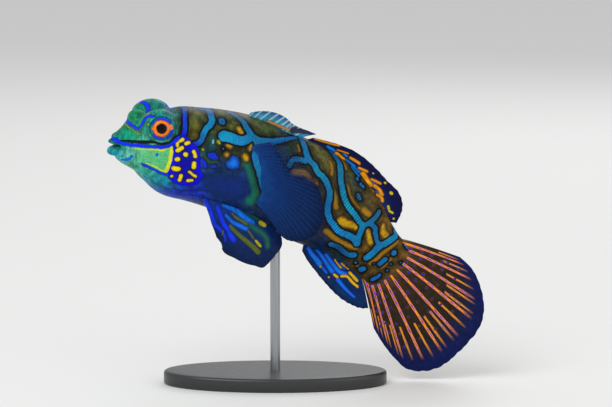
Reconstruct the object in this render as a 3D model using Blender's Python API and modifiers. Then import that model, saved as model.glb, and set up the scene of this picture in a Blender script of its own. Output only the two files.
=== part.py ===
"""A life-size mandarinfish, still, on a small display stand.

The fish faces -X with its left side towards -Y. Its spine is a smooth curve through
named stations, and every other shape is placed from that curve by three measures:
s runs along the spine from the mouth, h goes up towards the back and w out to the
left side. Sizes are in millimetres and become metres where points are made.
"""

import math

import bmesh
import bpy
import numpy as np
from mathutils import Matrix, Vector

MM = 0.001
GAP = 0.3

# Each station of the spine: x, y, z of its centre, then how far the flesh rises above
# it, drops below it and stands out to each side. The last one is the end of the tail fin.
STATIONS = np.array(
    [
        (-26.6, -8.0, 39.2, 1.2, 1.15, 1.25),  # lips
        (-25.0, -7.5, 39.4, 2.1, 1.85, 2.3),
        (-23.4, -7.0, 39.3, 3.95, 2.85, 3.5),  # snout
        (-21.4, -6.4, 39.2, 5.2, 4.0, 4.5),
        (-19.4, -5.7, 38.8, 6.2, 5.2, 5.2),  # between the eyes
        (-16.7, -4.9, 38.1, 7.4, 6.6, 5.9),
        (-13.1, -3.8, 37.3, 7.9, 7.0, 6.4),  # nape
        (-9.0, -2.7, 36.5, 8.15, 7.65, 6.5),
        (-5.3, -1.8, 35.5, 8.25, 8.0, 6.2),  # shoulder
        (-1.2, -1.0, 33.7, 8.0, 8.1, 5.6),
        (3.6, -0.2, 31.8, 7.9, 8.1, 4.9),  # mid trunk
        (7.8, 0.4, 29.3, 7.7, 7.8, 4.1),
        (11.8, 0.8, 26.0, 6.4, 6.4, 3.3),
        (14.9, 1.0, 22.6, 5.1, 5.1, 2.5),
        (17.0, 1.1, 20.3, 4.65, 4.65, 1.7),  # tail stalk
        (18.4, 1.2, 18.9, 5.0, 5.0, 1.0),
        (30.4, 1.4, 5.0, 5.0, 5.0, 0.3),  # end of the tail fin
    ]
)
SECTION_FULLNESS = 2.25  # 2 is an ellipse, more is squarer
SECTION_POINTS = 28
RING_STEP = 1.35

BACK_LEANS = math.radians(11.0)  # the back leans towards -Y, less so at the tail
LEAN_LEFT_AT_TAIL = 0.55

MOUTH, HEAD_END, TRUNK_END, STALK_END = 1.2, 15.6, 41.0, 51.6

EYE_AT = (7.4, 4.3, 3.0)
EYE_TURRET = (2.7, 3.0, 2.75)
EYE_RADIUS = 2.1
EYE_STANDS_OUT = 1.2
EYE_LOOKS = (-0.24, 0.20, 0.95)  # along s, h and w

UPPER_LIP = ((1.75, 0.90, 0.0), (0.9, 0.62, 1.55))  # centre, then half sizes
LOWER_LIP = ((1.50, -0.95, 0.0), (1.2, 0.75, 1.5))

# A fin is a fan from its root line to its edge line, both as (s, h, w) points. The right
# fin of a pair mirrors the left one, with its edge moved a little along s and h.
EDGE_THICK = 0.5
FINS = {
    "caudal_fin": {
        "root": [(51.95, 5.2, 0), (52.1, 2.6, 0), (52.2, 0, 0), (52.1, -2.6, 0), (51.95, -5.0, 0)],
        "edge": [
            (58.4, 9.6, 0.3), (61.0, 9.8, 0.3), (63.5, 9.2, 0.3), (66.0, 8.0, 0.2), (68.2, 6.2, 0.1),
            (69.5, 4.0, 0.0), (70.1, 1.4, -0.1), (70.4, -1.6, -0.1), (70.3, -4.6, 0.0),
            (69.2, -7.1, 0.1), (67.2, -9.0, 0.2), (64.6, -9.4, 0.3), (61.5, -9.3, 0.4), (58.4, -8.8, 0.4),
        ],
        "bulge": 0.4, "root_thick": 1.8, "rays": 26, "rows": 7,
    },
    "first_dorsal_fin": {
        "root": [(20.8, 7.2, 0), (23.4, 7.2, 0), (26.0, 7.1, 0), (28.4, 7.0, 0)],
        "edge": [
            (21.5, 8.9, 0.1), (22.6, 9.6, 0.2), (23.8, 10.1, 0.3), (25.4, 10.1, 0.3), (27.0, 9.7, 0.3),
            (29.0, 9.4, 0.2), (31.6, 9.3, 0.1),
        ],
        "bulge": 0.1, "root_thick": 0.8, "rays": 14, "rows": 4,
    },
    "second_dorsal_fin": {
        "root": [(30.8, 7.0, 0), (34.5, 6.8, 0), (38.0, 6.3, 0), (41.5, 5.2, 0), (45.4, 4.2, 0)],
        "edge": [
            (33.2, 8.9, 0.4), (34.8, 9.4, 0.5), (36.5, 9.6, 0.6), (38.5, 9.5, 0.6), (40.5, 9.3, 0.6),
            (42.5, 9.1, 0.5), (44.0, 8.9, 0.4), (45.5, 8.2, 0.3), (46.9, 6.9, 0.2), (47.6, 5.6, 0.2),
        ],
        "bulge": 0.2, "root_thick": 0.9, "rays": 22, "rows": 5,
    },
    "anal_fin": {
        "root": [(38.2, -6.7, 0), (41.0, -5.9, 0), (43.8, -5.1, 0), (46.4, -4.4, 0), (48.8, -4.0, 0)],
        "edge": [
            (39.6, -8.4, 0.4), (42.0, -9.0, 0.8), (44.6, -9.2, 1.0), (47.2, -9.3, 1.2), (49.8, -9.2, 1.4),
            (52.0, -8.7, 1.5), (53.8, -8.0, 1.6), (54.9, -7.0, 1.7),
        ],
        "bulge": 0.2, "root_thick": 0.9, "rays": 20, "rows": 5,
    },
    "pectoral_fin": {
        "root": [(21.6, 4.6, 4.2), (23.6, 2.6, 4.7), (25.4, 0.4, 4.8), (26.4, -1.6, 4.6), (26.4, -3.4, 4.2)],
        "edge": [
            (25.8, 8.1, 6.1), (28.6, 6.9, 6.8), (31.3, 5.1, 7.3), (33.8, 3.1, 7.7), (36.0, 1.0, 8.0),
            (37.5, -1.2, 8.2), (37.7, -3.5, 8.3), (36.3, -5.4, 8.2), (33.8, -6.6, 7.9), (31.0, -6.4, 7.4),
        ],
        "bulge": 0.5, "root_thick": 1.1, "rays": 22, "rows": 6, "right_edge_moves": (0.0, -1.7),
    },
    "pelvic_fin": {
        "root": [(16.6, -4.6, 3.9), (18.2, -5.0, 3.8), (20.0, -5.3, 3.7), (21.8, -5.5, 3.4)],
        "edge": [
            (20.4, -10.7, 6.6), (23.4, -12.1, 7.4), (26.3, -12.5, 7.9), (28.4, -12.5, 8.1),
            (30.3, -12.3, 8.1), (32.0, -11.3, 7.8), (33.2, -9.7, 7.2), (33.6, -8.2, 6.3), (32.6, -7.0, 5.3),
        ],
        "bulge": 0.4, "root_thick": 1.3, "rays": 20, "rows": 6, "right_edge_moves": (1.5, 0.0),
    },
}

BASE_LENGTH, BASE_WIDTH, BASE_THICK = 36.0, 16.0, 2.2
BASE_BEVEL = 0.5
ROD_RADIUS = 0.8
ROD_SINKS = 1.2  # depth of the rod's hole in the base
ROD_TOP = 29.0

# Linear colours, roughness and metallic value of each finish.
FINISHES = {
    "head": ((0.03, 0.33, 0.22), 0.35, 0.0),
    "trunk": ((0.01, 0.13, 0.30), 0.35, 0.0),
    "tail_stalk": ((0.13, 0.09, 0.02), 0.35, 0.0),
    "fin": ((0.01, 0.06, 0.24), 0.40, 0.0),
    "eye": ((0.80, 0.14, 0.01), 0.10, 0.0),
    "stand_base": ((0.72, 0.71, 0.68), 0.35, 0.0),
    "stand_rod": ((0.60, 0.60, 0.62), 0.30, 1.0),
}


# Curves and the body's own coordinates

def distances_along(points):
    steps = np.linalg.norm(np.diff(points, axis=0), axis=1)
    return np.concatenate([[0.0], np.cumsum(steps)])


def smooth_through(points, at, wanted):
    """Cubic Hermite curve through points, which lie at the distances `at`."""
    slopes = np.gradient(points, at, axis=0)
    wanted = np.atleast_1d(np.asarray(wanted, float))
    i = np.clip(np.searchsorted(at, wanted, side="right") - 1, 0, len(at) - 2)
    span = (at[i + 1] - at[i])[:, None]
    t = (wanted - at[i])[:, None] / span
    ends = (2 * t**3 - 3 * t**2 + 1) * points[i] + (3 * t**2 - 2 * t**3) * points[i + 1]
    return ends + (t**3 - 2 * t**2 + t) * span * slopes[i] + (t**3 - t**2) * span * slopes[i + 1]


SPINE_S = distances_along(STATIONS[:, :3])
SPINE_LENGTH = SPINE_S[-1]


def body_frame(s):
    """Station rows at s, with the unit vectors along the spine, up and to the left."""
    s = np.atleast_1d(np.asarray(s, float))
    rows = smooth_through(STATIONS, SPINE_S, s)
    reach = 0.4
    ahead = smooth_through(STATIONS, SPINE_S, np.clip(s + reach, 0, SPINE_LENGTH))[:, :3]
    behind = smooth_through(STATIONS, SPINE_S, np.clip(s - reach, 0, SPINE_LENGTH))[:, :3]
    along = (ahead - behind) / np.linalg.norm(ahead - behind, axis=1)[:, None]
    up = np.array([0.0, 0.0, 1.0]) - along[:, 2:3] * along
    up /= np.linalg.norm(up, axis=1)[:, None]
    left = np.cross(along, up)
    lean = BACK_LEANS * (1 + (LEAN_LEFT_AT_TAIL - 1) * s / SPINE_LENGTH)[:, None]
    return rows, along, up * np.cos(lean) + left * np.sin(lean), left * np.cos(lean) - up * np.sin(lean)


def place(points):
    """World positions, in mm, of (s, h, w) points."""
    points = np.atleast_2d(np.asarray(points, float))
    rows, _, up, left = body_frame(points[:, 0])
    return rows[:, :3] + up * points[:, 1:2] + left * points[:, 2:3]


# Meshes

def finish_material(name):
    material = bpy.data.materials.get(name) or bpy.data.materials.new(name)
    material.use_nodes = True
    shader = material.node_tree.nodes["Principled BSDF"]
    colour, roughness, metallic = FINISHES[name]
    shader.inputs["Base Color"].default_value = (*colour, 1.0)
    shader.inputs["Roughness"].default_value = roughness
    shader.inputs["Metallic"].default_value = metallic
    return material


def new_object(name, mesh, finish, collection):
    obj = bpy.data.objects.new(name, mesh)
    collection.objects.link(obj)
    mesh.materials.append(finish_material(finish))
    mesh.shade_smooth()
    return obj


def rename(obj, name, finish, collection):
    """Names an object that an operator made, and moves it to its collection."""
    obj.name = name
    for home in list(obj.users_collection):
        home.objects.unlink(obj)
    collection.objects.link(obj)
    obj.data.materials.append(finish_material(finish))
    return obj


def section(s, grow):
    """One closed section of the body in world mm, grown outwards by `grow`."""
    rows, _, up, left = body_frame(s)
    rise, drop, side = rows[0, 3:6] + grow
    turn = np.linspace(0, 2 * math.pi, SECTION_POINTS, endpoint=False)
    power = 2 / SECTION_FULLNESS
    cos, sin = np.cos(turn), np.sin(turn)
    h = np.sign(cos) * np.abs(cos) ** power * np.where(cos > 0, rise, drop)
    w = np.sign(sin) * np.abs(sin) ** power * side
    return rows[0, :3] + up * h[:, None] + left * w[:, None]


def body_loft(name, start, end, finish, collection, grow=0.0):
    """A closed length of the body between two distances along the spine."""
    rings = max(3, round((end - start) / RING_STEP) + 1)
    bm = bmesh.new()
    loops = []
    for s in np.linspace(start, end, rings):
        loops.append([bm.verts.new(Vector(p) * MM) for p in section(s, grow)])
    for near, far in zip(loops, loops[1:]):
        for j in range(SECTION_POINTS):
            k = (j + 1) % SECTION_POINTS
            bm.faces.new((near[j], near[k], far[k], far[j]))
    bm.faces.new(loops[0][::-1])
    bm.faces.new(loops[-1])
    bmesh.ops.recalc_face_normals(bm, faces=bm.faces)
    mesh = bpy.data.meshes.new(name)
    bm.to_mesh(mesh)
    bm.free()
    return new_object(name, mesh, finish, collection)


def ball(name, centre, half_sizes, finish, collection, segments=20):
    """An ellipsoid whose axes lie along the body at its centre."""
    _, along, up, left = body_frame(centre[0])
    turn = Matrix((along[0], up[0], left[0])).transposed().to_4x4()
    bm = bmesh.new()
    bmesh.ops.create_uvsphere(bm, u_segments=segments, v_segments=segments // 2, radius=MM)
    spread = Matrix.Diagonal((*half_sizes, 1.0))
    bmesh.ops.transform(bm, matrix=turn @ spread, verts=bm.verts)
    bmesh.ops.translate(bm, vec=Vector(place(centre)[0]) * MM, verts=bm.verts)
    bmesh.ops.recalc_face_normals(bm, faces=bm.faces)
    mesh = bpy.data.meshes.new(name)
    bm.to_mesh(mesh)
    bm.free()
    return new_object(name, mesh, finish, collection)


def as_cutter(obj):
    obj.hide_render = True
    obj.display_type = "WIRE"
    return obj


def combine(obj, other, operation):
    modifier = obj.modifiers.new(f"{operation.title()} {other.name}", "BOOLEAN")
    modifier.operation = operation
    modifier.object = other


def mirrored(points, moves=(0.0, 0.0)):
    return [(s + moves[0], h + moves[1], -w) for s, h, w in points]


def fin(name, plan, cutter, collection, right_side=False):
    """A fan of rays from root to edge, thick at the root, trimmed where it meets the body."""
    root, edge = np.array(plan["root"]), np.array(plan["edge"])
    if right_side:
        root, edge = np.array(mirrored(root)), np.array(mirrored(edge, plan["right_edge_moves"]))
    rays, rows = plan["rays"], plan["rows"]
    root_at, edge_at = distances_along(root), distances_along(edge)
    share = np.linspace(0, 1, rays)
    starts = smooth_through(root, root_at, share * root_at[-1])
    tips = smooth_through(edge, edge_at, share * edge_at[-1])
    side = -1.0 if right_side else 1.0

    bm = bmesh.new()
    bmesh.ops.create_grid(bm, x_segments=rays - 1, y_segments=rows - 1, size=0.5)
    bm.verts.ensure_lookup_table()
    mesh = bpy.data.meshes.new(name)
    weights = []
    for vert in bm.verts:
        ray = round((vert.co.x + 0.5) * (rays - 1))
        out = vert.co.y + 0.5
        point = starts[ray] * (1 - out) + tips[ray] * out
        point[2] += side * plan["bulge"] * math.sin(math.pi * out) * math.sin(math.pi * share[ray])
        vert.co = Vector(place(point)[0]) * MM
        weights.append((1 - out) ** 2)
    bm.to_mesh(mesh)
    bm.free()
    obj = new_object(name, mesh, "fin", collection)
    group = obj.vertex_groups.new(name="fleshy root")
    for index, weight in enumerate(weights):
        group.add([index], weight, "REPLACE")
    solid = obj.modifiers.new("Fin thickness", "SOLIDIFY")
    solid.thickness = plan["root_thick"] * MM
    solid.offset = 0
    solid.vertex_group = group.name
    solid.thickness_vertex_group = EDGE_THICK / plan["root_thick"]
    combine(obj, cutter, "DIFFERENCE")
    return obj


# The fish and its stand

def make_body(fish, cutters):
    head = body_loft("head", MOUTH, HEAD_END, "head", fish)
    body_loft("trunk", HEAD_END + GAP, TRUNK_END, "trunk", fish)
    body_loft("tail_stalk", TRUNK_END + GAP, STALK_END, "tail_stalk", fish)
    for part, (centre, half_sizes) in (("upper_lip", UPPER_LIP), ("lower_lip", LOWER_LIP)):
        lip = ball(part, centre, half_sizes, "head", cutters)
        combine(head, as_cutter(lip), "UNION")
    for side, name in ((1, "left"), (-1, "right")):
        make_eye(name, side, head, fish, cutters)


def make_eye(name, side, head, fish, cutters):
    s, h, w = EYE_AT
    turret = ball(f"turret_{name}", (s, h, side * w), EYE_TURRET, "head", cutters)
    combine(head, as_cutter(turret), "UNION")
    looks = np.array(EYE_LOOKS) / np.linalg.norm(EYE_LOOKS)
    s, h, w = np.array(EYE_AT) + looks * EYE_STANDS_OUT
    socket = ball(f"socket_{name}", (s, h, side * w), [EYE_RADIUS + GAP] * 3, "head", cutters)
    combine(head, as_cutter(socket), "DIFFERENCE")
    ball(f"eye_{name}", (s, h, side * w), [EYE_RADIUS] * 3, "eye", fish)


def make_fins(fish, cutter):
    for name in ("first_dorsal_fin", "second_dorsal_fin", "anal_fin", "caudal_fin"):
        fin(name, FINS[name], cutter, fish)
    for name in ("pectoral_fin", "pelvic_fin"):
        fin(f"{name}_left", FINS[name], cutter, fish)
        fin(f"{name}_right", FINS[name], cutter, fish, right_side=True)


def make_stand(fish, cutter, cutters):
    bpy.ops.mesh.primitive_cylinder_add(vertices=64, radius=0.5, depth=BASE_THICK * MM)
    base = rename(bpy.context.object, "stand_base", "stand_base", fish)
    base.data.transform(Matrix.Diagonal((BASE_LENGTH * MM, BASE_WIDTH * MM, 1.0, 1.0)))
    base.location.z = BASE_THICK / 2 * MM
    bevel = base.modifiers.new("Soft edge", "BEVEL")
    bevel.width = BASE_BEVEL * MM
    bevel.segments = 2
    hole = ROD_RADIUS + GAP
    bpy.ops.mesh.primitive_cylinder_add(vertices=24, radius=hole * MM, depth=2 * ROD_SINKS * MM)
    socket = rename(bpy.context.object, "rod_socket", "stand_base", cutters)
    socket.location.z = BASE_THICK * MM
    combine(base, as_cutter(socket), "DIFFERENCE")

    foot = BASE_THICK - ROD_SINKS + GAP
    height = ROD_TOP - foot
    bpy.ops.mesh.primitive_cylinder_add(vertices=20, radius=ROD_RADIUS * MM, depth=height * MM)
    rod = rename(bpy.context.object, "stand_rod", "stand_rod", fish)
    rod.location.z = (foot + height / 2) * MM
    combine(rod, cutter, "DIFFERENCE")


def main():
    for obj in list(bpy.data.objects):
        bpy.data.objects.remove(obj)
    fish = bpy.data.collections.new("Mandarinfish")
    cutters = bpy.data.collections.new("Cutters")
    for collection in (fish, cutters):
        bpy.context.scene.collection.children.link(collection)
    make_body(fish, cutters)
    body_cutter = as_cutter(body_loft("body_cutter", MOUTH, STALK_END, "trunk", cutters, grow=GAP))
    make_fins(fish, body_cutter)
    make_stand(fish, body_cutter, cutters)


main()
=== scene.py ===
import math
import random

import bmesh
import bpy
import numpy as np
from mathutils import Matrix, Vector
from mathutils.kdtree import KDTree


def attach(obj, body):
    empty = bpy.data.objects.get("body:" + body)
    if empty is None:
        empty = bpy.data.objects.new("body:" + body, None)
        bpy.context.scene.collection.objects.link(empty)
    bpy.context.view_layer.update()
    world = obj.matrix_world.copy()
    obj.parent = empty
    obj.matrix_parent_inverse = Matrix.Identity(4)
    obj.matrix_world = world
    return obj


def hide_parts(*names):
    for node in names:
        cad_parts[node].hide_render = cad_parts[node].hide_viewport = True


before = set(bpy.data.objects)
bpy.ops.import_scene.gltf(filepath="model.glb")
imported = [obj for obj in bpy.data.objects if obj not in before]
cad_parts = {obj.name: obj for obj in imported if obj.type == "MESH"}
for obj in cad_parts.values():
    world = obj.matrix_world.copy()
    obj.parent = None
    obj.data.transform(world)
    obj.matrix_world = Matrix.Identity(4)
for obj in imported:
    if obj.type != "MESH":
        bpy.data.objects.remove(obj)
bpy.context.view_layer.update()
mm = 0.001  # metres in a millimetre


# colours and nodes

def toLinear(hexCode):
    # sRGB hex to the linear values that a socket takes
    parts = [int(hexCode[k:k + 2], 16) / 255 for k in (1, 3, 5)]
    return tuple(p / 12.92 if p <= 0.04045 else ((p + 0.055) / 1.055) ** 2.4 for p in parts)


def addNode(tree, kind, settings=None, inputs=None):
    # one node, its settings, and its sockets as values or as links
    node = tree.nodes.new(kind)
    for name, value in (settings or {}).items():
        setattr(node, name, value)
    for socket, value in (inputs or {}).items():
        if isinstance(value, bpy.types.NodeSocket):
            tree.links.new(value, node.inputs[socket])
        else:
            node.inputs[socket].default_value = value
    return node


def tint(hexCode):
    return (*toLinear(hexCode), 1)


def newMaterial(name):
    material = bpy.data.materials.new(name)
    material.use_nodes = True
    material.node_tree.nodes.clear()
    return material, material.node_tree


def finishMaterial(material, sockets):
    # the surface shader with these sockets, joined to the material's output
    shader = addNode(material.node_tree, "ShaderNodeBsdfPrincipled", {}, sockets)
    addNode(material.node_tree, "ShaderNodeOutputMaterial", {}, {"Surface": shader.outputs[0]})
    return material


def shaded(tree, colour, pattern, ends, shades, ease="LINEAR"):
    # darkens and lightens a colour where a pattern runs from one end to the other
    shade = addNode(tree, "ShaderNodeMapRange", {"interpolation_type": ease},
                    {"Value": pattern, "From Min": ends[0], "From Max": ends[1],
                     "To Min": shades[0], "To Max": shades[1]}).outputs[0]
    return addNode(tree, "ShaderNodeMix", {"data_type": "RGBA", "blend_type": "MULTIPLY"},
                   {0: 1.0, 6: colour, 7: shade}).outputs[2]


def paintOver(tree, under, coats, wobble):
    # lays flat coats of paint one on another, each inside the edge of its own field in mm
    for field, edge, soft, paint, strength in coats:
        distance = addNode(tree, "ShaderNodeAttribute", {"attribute_name": field}).outputs["Fac"]
        gap = addNode(tree, "ShaderNodeMath", {"operation": "ADD"}, {0: distance, 1: wobble})
        mask = addNode(tree, "ShaderNodeMapRange", {"interpolation_type": "SMOOTHSTEP"},
                       {"Value": gap.outputs[0], "From Min": edge - soft, "From Max": edge + soft,
                        "To Min": strength, "To Max": 0}).outputs[0]
        over = tint(paint) if isinstance(paint, str) else paint
        under = addNode(tree, "ShaderNodeMix", {"data_type": "RGBA"},
                        {0: mask, 6: under, 7: over}).outputs[2]
    return under


# the fish's own coordinates, in mm: s along the spine, h up and w to the left of it

stations = np.array([  # x, y, z, rise, drop and half width of the section
    (-26.6, -8.0, 39.2, 1.2, 1.15, 1.25),
    (-25.0, -7.5, 39.4, 2.1, 1.85, 2.3),
    (-23.4, -7.0, 39.3, 3.95, 2.85, 3.5),
    (-21.4, -6.4, 39.2, 5.2, 4.0, 4.5),
    (-19.4, -5.7, 38.8, 6.2, 5.2, 5.2),
    (-16.7, -4.9, 38.1, 7.4, 6.6, 5.9),
    (-13.1, -3.8, 37.3, 7.9, 7.0, 6.4),
    (-9.0, -2.7, 36.5, 8.15, 7.65, 6.5),
    (-5.3, -1.8, 35.5, 8.25, 8.0, 6.2),
    (-1.2, -1.0, 33.7, 8.0, 8.1, 5.6),
    (3.6, -0.2, 31.8, 7.9, 8.1, 4.9),
    (7.8, 0.4, 29.3, 7.7, 7.8, 4.1),
    (11.8, 0.8, 26.0, 6.4, 6.4, 3.3),
    (14.9, 1.0, 22.6, 5.1, 5.1, 2.5),
    (17.0, 1.1, 20.3, 4.65, 4.65, 1.7),
    (18.4, 1.2, 18.9, 5.0, 5.0, 1.0),
    (30.4, 1.4, 5.0, 5.0, 5.0, 0.3),
])
spineSteps = np.linalg.norm(np.diff(stations[:, :3], axis=0), axis=1)
stationAt = np.concatenate([[0], np.cumsum(spineSteps)])
spineLength = stationAt[-1]
backLean = math.radians(11)
leanAtTail = 0.55  # share of the lean that is left at the tail
fullness = 2.25  # exponent of the section: 2 would be an ellipse


def smoothThrough(points, places, at):
    # a cubic through points at the given places, read at the places in at
    points, at = np.asarray(points, float), np.atleast_1d(np.asarray(at, float))
    slopes = np.gradient(points, places, axis=0)
    k = np.clip(np.searchsorted(places, at, side="right") - 1, 0, len(places) - 2)
    step = (places[k + 1] - places[k])[:, None]
    t = (at - places[k])[:, None] / step
    return ((2 * t**3 - 3 * t**2 + 1) * points[k] + (t**3 - 2 * t**2 + t) * step * slopes[k]
            + (3 * t**2 - 2 * t**3) * points[k + 1] + (t**3 - t**2) * step * slopes[k + 1])


def evenPath(points, count):
    # count points spread evenly along a smooth path
    points = np.asarray(points, float)
    places = np.concatenate([[0], np.cumsum(np.linalg.norm(np.diff(points, axis=0), axis=1))])
    return smoothThrough(points, places, np.linspace(0, places[-1], count))


def bodyFrame(s):
    s = np.atleast_1d(np.asarray(s, float))
    here = smoothThrough(stations, stationAt, np.clip(s, 0, spineLength))
    reach = 0.2
    along = (smoothThrough(stations, stationAt, np.clip(s + reach, 0, spineLength))
             - smoothThrough(stations, stationAt, np.clip(s - reach, 0, spineLength)))[:, :3]
    along /= np.linalg.norm(along, axis=1)[:, None]
    up = np.array([0, 0, 1.0]) - along[:, 2:3] * along
    up /= np.linalg.norm(up, axis=1)[:, None]
    side = np.cross(along, up)
    lean = (backLean * (1 + (leanAtTail - 1) * s / spineLength))[:, None]
    centre = here[:, :3] + along * (s - np.clip(s, 0, spineLength))[:, None]
    return (centre, along, up * np.cos(lean) + side * np.sin(lean),
            side * np.cos(lean) - up * np.sin(lean), here[:, 3:])


def place(s, h, w):
    centre, _, up, side, _ = bodyFrame(s)
    return centre + up * np.atleast_1d(h)[:, None] + side * np.atleast_1d(w)[:, None]


def bodyCoordinates(points):
    # s, h and w of points given in mm
    places = np.arange(0, spineLength, 0.3)
    spine = bodyFrame(places)[0]
    s = np.empty(len(points))
    for first in range(0, len(points), 4000):
        part = points[first:first + 4000]
        gaps = (part**2).sum(1)[:, None] - 2 * part @ spine.T + (spine**2).sum(1)
        s[first:first + 4000] = places[gaps.argmin(1)]
    for _ in range(3):
        centre, along, up, side, _ = bodyFrame(s)
        s = np.clip(s + ((points - centre) * along).sum(1), -1.5, spineLength)
    centre, along, up, side, _ = bodyFrame(s)
    return s, ((points - centre) * up).sum(1), ((points - centre) * side).sum(1)


turn = np.linspace(0, math.pi, 181)


def sectionCurve(size, angle):
    rise, drop, half = size
    c, n = np.cos(angle), np.sin(angle)
    h = np.sign(c) * np.abs(c)**(2 / fullness) * np.where(c > 0, rise, drop)
    return h, np.sign(n) * np.abs(n)**(2 / fullness) * half


girthAt = np.arange(0, spineLength, 0.5)
girthTable = []
for size in bodyFrame(girthAt)[4]:
    h, w = sectionCurve(size, turn)
    girthTable.append(np.concatenate([[0], np.cumsum(np.hypot(np.diff(h), np.diff(w)))]))
girthTable = np.array(girthTable)


def girthOf(s, h, w):
    # mm round the section from the midline of the back, positive on either side
    size = bodyFrame(s)[4]
    rise = np.where(h > 0, size[:, 0], size[:, 1])
    angle = np.arctan2((np.abs(w) / size[:, 2])**(fullness / 2),
                       np.sign(h) * (np.abs(h) / rise)**(fullness / 2))
    row = np.clip(s / 0.5, 0, len(girthAt) - 1.001)
    column = np.clip(angle / math.pi * 180, 0, 179.999)
    r, c = row.astype(int), column.astype(int)
    fr, fc = row - r, column - c
    return ((girthTable[r, c] * (1 - fc) + girthTable[r, c + 1] * fc) * (1 - fr)
            + (girthTable[r + 1, c] * (1 - fc) + girthTable[r + 1, c + 1] * fc) * fr)


# fields: distance in mm from a vertex to the painted edge, negative inside

fieldReach = 2.0


def softMin(a, b, by):
    share = np.clip(0.5 + 0.5 * (b - a) / by, 0, 1)
    return b * (1 - share) + a * share - by * share * (1 - share)


def strokeField(at, strokes, blendBy=0.02, lay=None):
    # strokes are paths with a half width, or one for each end; lay puts a flat path on the skin
    field = np.full(len(at), fieldReach)
    for half, path in strokes:
        path = np.array(path, float)
        if len(path) == 1:
            path = np.vstack([path, path + (0.01, 0)])
        path = evenPath(path, 2 + int(np.linalg.norm(np.diff(path, axis=0), axis=1).sum() / 0.4))
        path = lay(path) if lay else path
        widths = np.linspace(*half, len(path)) if isinstance(half, tuple) else [half] * len(path)
        margin = fieldReach + max(widths)
        near = np.flatnonzero(((at > path.min(0) - margin) & (at < path.max(0) + margin)).all(1))
        if not len(near):
            continue
        best, spots = np.full(len(near), fieldReach), at[near]
        for k in range(len(path) - 1):
            step = path[k + 1] - path[k]
            t = np.clip((spots - path[k]) @ step / max(step @ step, 1e-9), 0, 1)
            gap = np.linalg.norm(spots - path[k] - t[:, None] * step, axis=1)
            best = np.minimum(best, gap - widths[k] * (1 - t) - widths[k + 1] * t)
        field[near] = softMin(field[near], best, blendBy)
    return field


def patchField(at, outline):
    # signed distance to a closed outline
    outline = np.array(outline, float)
    following = np.roll(outline, -1, axis=0)
    inside = np.zeros(len(at), bool)
    gap = np.full(len(at), 9.0)
    for a, b in zip(outline, following):
        crosses = (a[1] > at[:, 1]) != (b[1] > at[:, 1])
        rise = b[1] - a[1] if b[1] != a[1] else 1e-9
        inside ^= crosses & (at[:, 0] < a[0] + (at[:, 1] - a[1]) / rise * (b[0] - a[0]))
        t = np.clip((at - a) @ (b - a) / ((b - a) @ (b - a)), 0, 1)
        gap = np.minimum(gap, np.linalg.norm(at - a - t[:, None] * (b - a), axis=1))
    return np.clip(np.where(inside, -gap, gap), -fieldReach, fieldReach)


def setField(mesh, name, values):
    mesh.attributes.new(name, "FLOAT", "POINT").data.foreach_set("value", np.asarray(values, np.float32))


def setColours(mesh, name, colours):
    rgba = np.ones((len(colours), 4), np.float32)
    rgba[:, :3] = colours
    mesh.attributes.new(name, "FLOAT_COLOR", "POINT").data.foreach_set("color", rgba.ravel())


def blendColours(at, anchors, sharpness=3.2):
    # each place takes the colours of the anchors near it
    total, weights = np.zeros((len(at), 3)), np.zeros(len(at))
    for s, g, hexCode in anchors:
        weight = 1 / (((at - (s, g))**2).sum(1) + 0.3)**(sharpness / 2)
        total += weight[:, None] * np.array(toLinear(hexCode))
        weights += weight
    return total / weights[:, None]


# meshes

def addObject(name, data):
    added = bpy.data.objects.new(name, data)
    bpy.context.scene.collection.objects.link(added)
    return added


def plainMesh(draft):
    # the mesh that a draft's modifiers make; the draft goes
    seen = draft.evaluated_get(bpy.context.evaluated_depsgraph_get())
    mesh = bpy.data.meshes.new_from_object(seen)
    bpy.data.objects.remove(draft)
    return mesh


def newPiece(name, points, faces, material):
    mesh = bpy.data.meshes.new(name)
    mesh.from_pydata([tuple(p) for p in np.asarray(points) * mm], [], faces)
    shell = bmesh.new()
    shell.from_mesh(mesh)
    bmesh.ops.recalc_face_normals(shell, faces=shell.faces)
    shell.to_mesh(mesh)
    shell.free()
    mesh.shade_smooth()
    mesh.materials.append(material)
    return addObject(name, mesh)


def gridFaces(rows, columns, first=0, closed=True):
    # quads between rings; closed joins the last column to the first
    faces = []
    for r in range(rows - 1):
        for c in range(columns if closed else columns - 1):
            d = (c + 1) % columns
            faces.append((first + r * columns + c, first + r * columns + d,
                          first + (r + 1) * columns + d, first + (r + 1) * columns + c))
    return faces


def fanFaces(first, columns, tip):
    # triangles from a ring of vertices to one point
    return [(first + k, first + (k + 1) % columns, tip) for k in range(columns)]


def meshPoints(mesh):
    points = np.empty(len(mesh.vertices) * 3)
    mesh.vertices.foreach_get("co", points)
    return points.reshape(-1, 3)


def meshNormals(mesh):
    normals = np.empty(len(mesh.vertices) * 3, np.float32)
    mesh.vertices.foreach_get("normal", normals)
    return normals.reshape(-1, 3)


# skin

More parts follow.
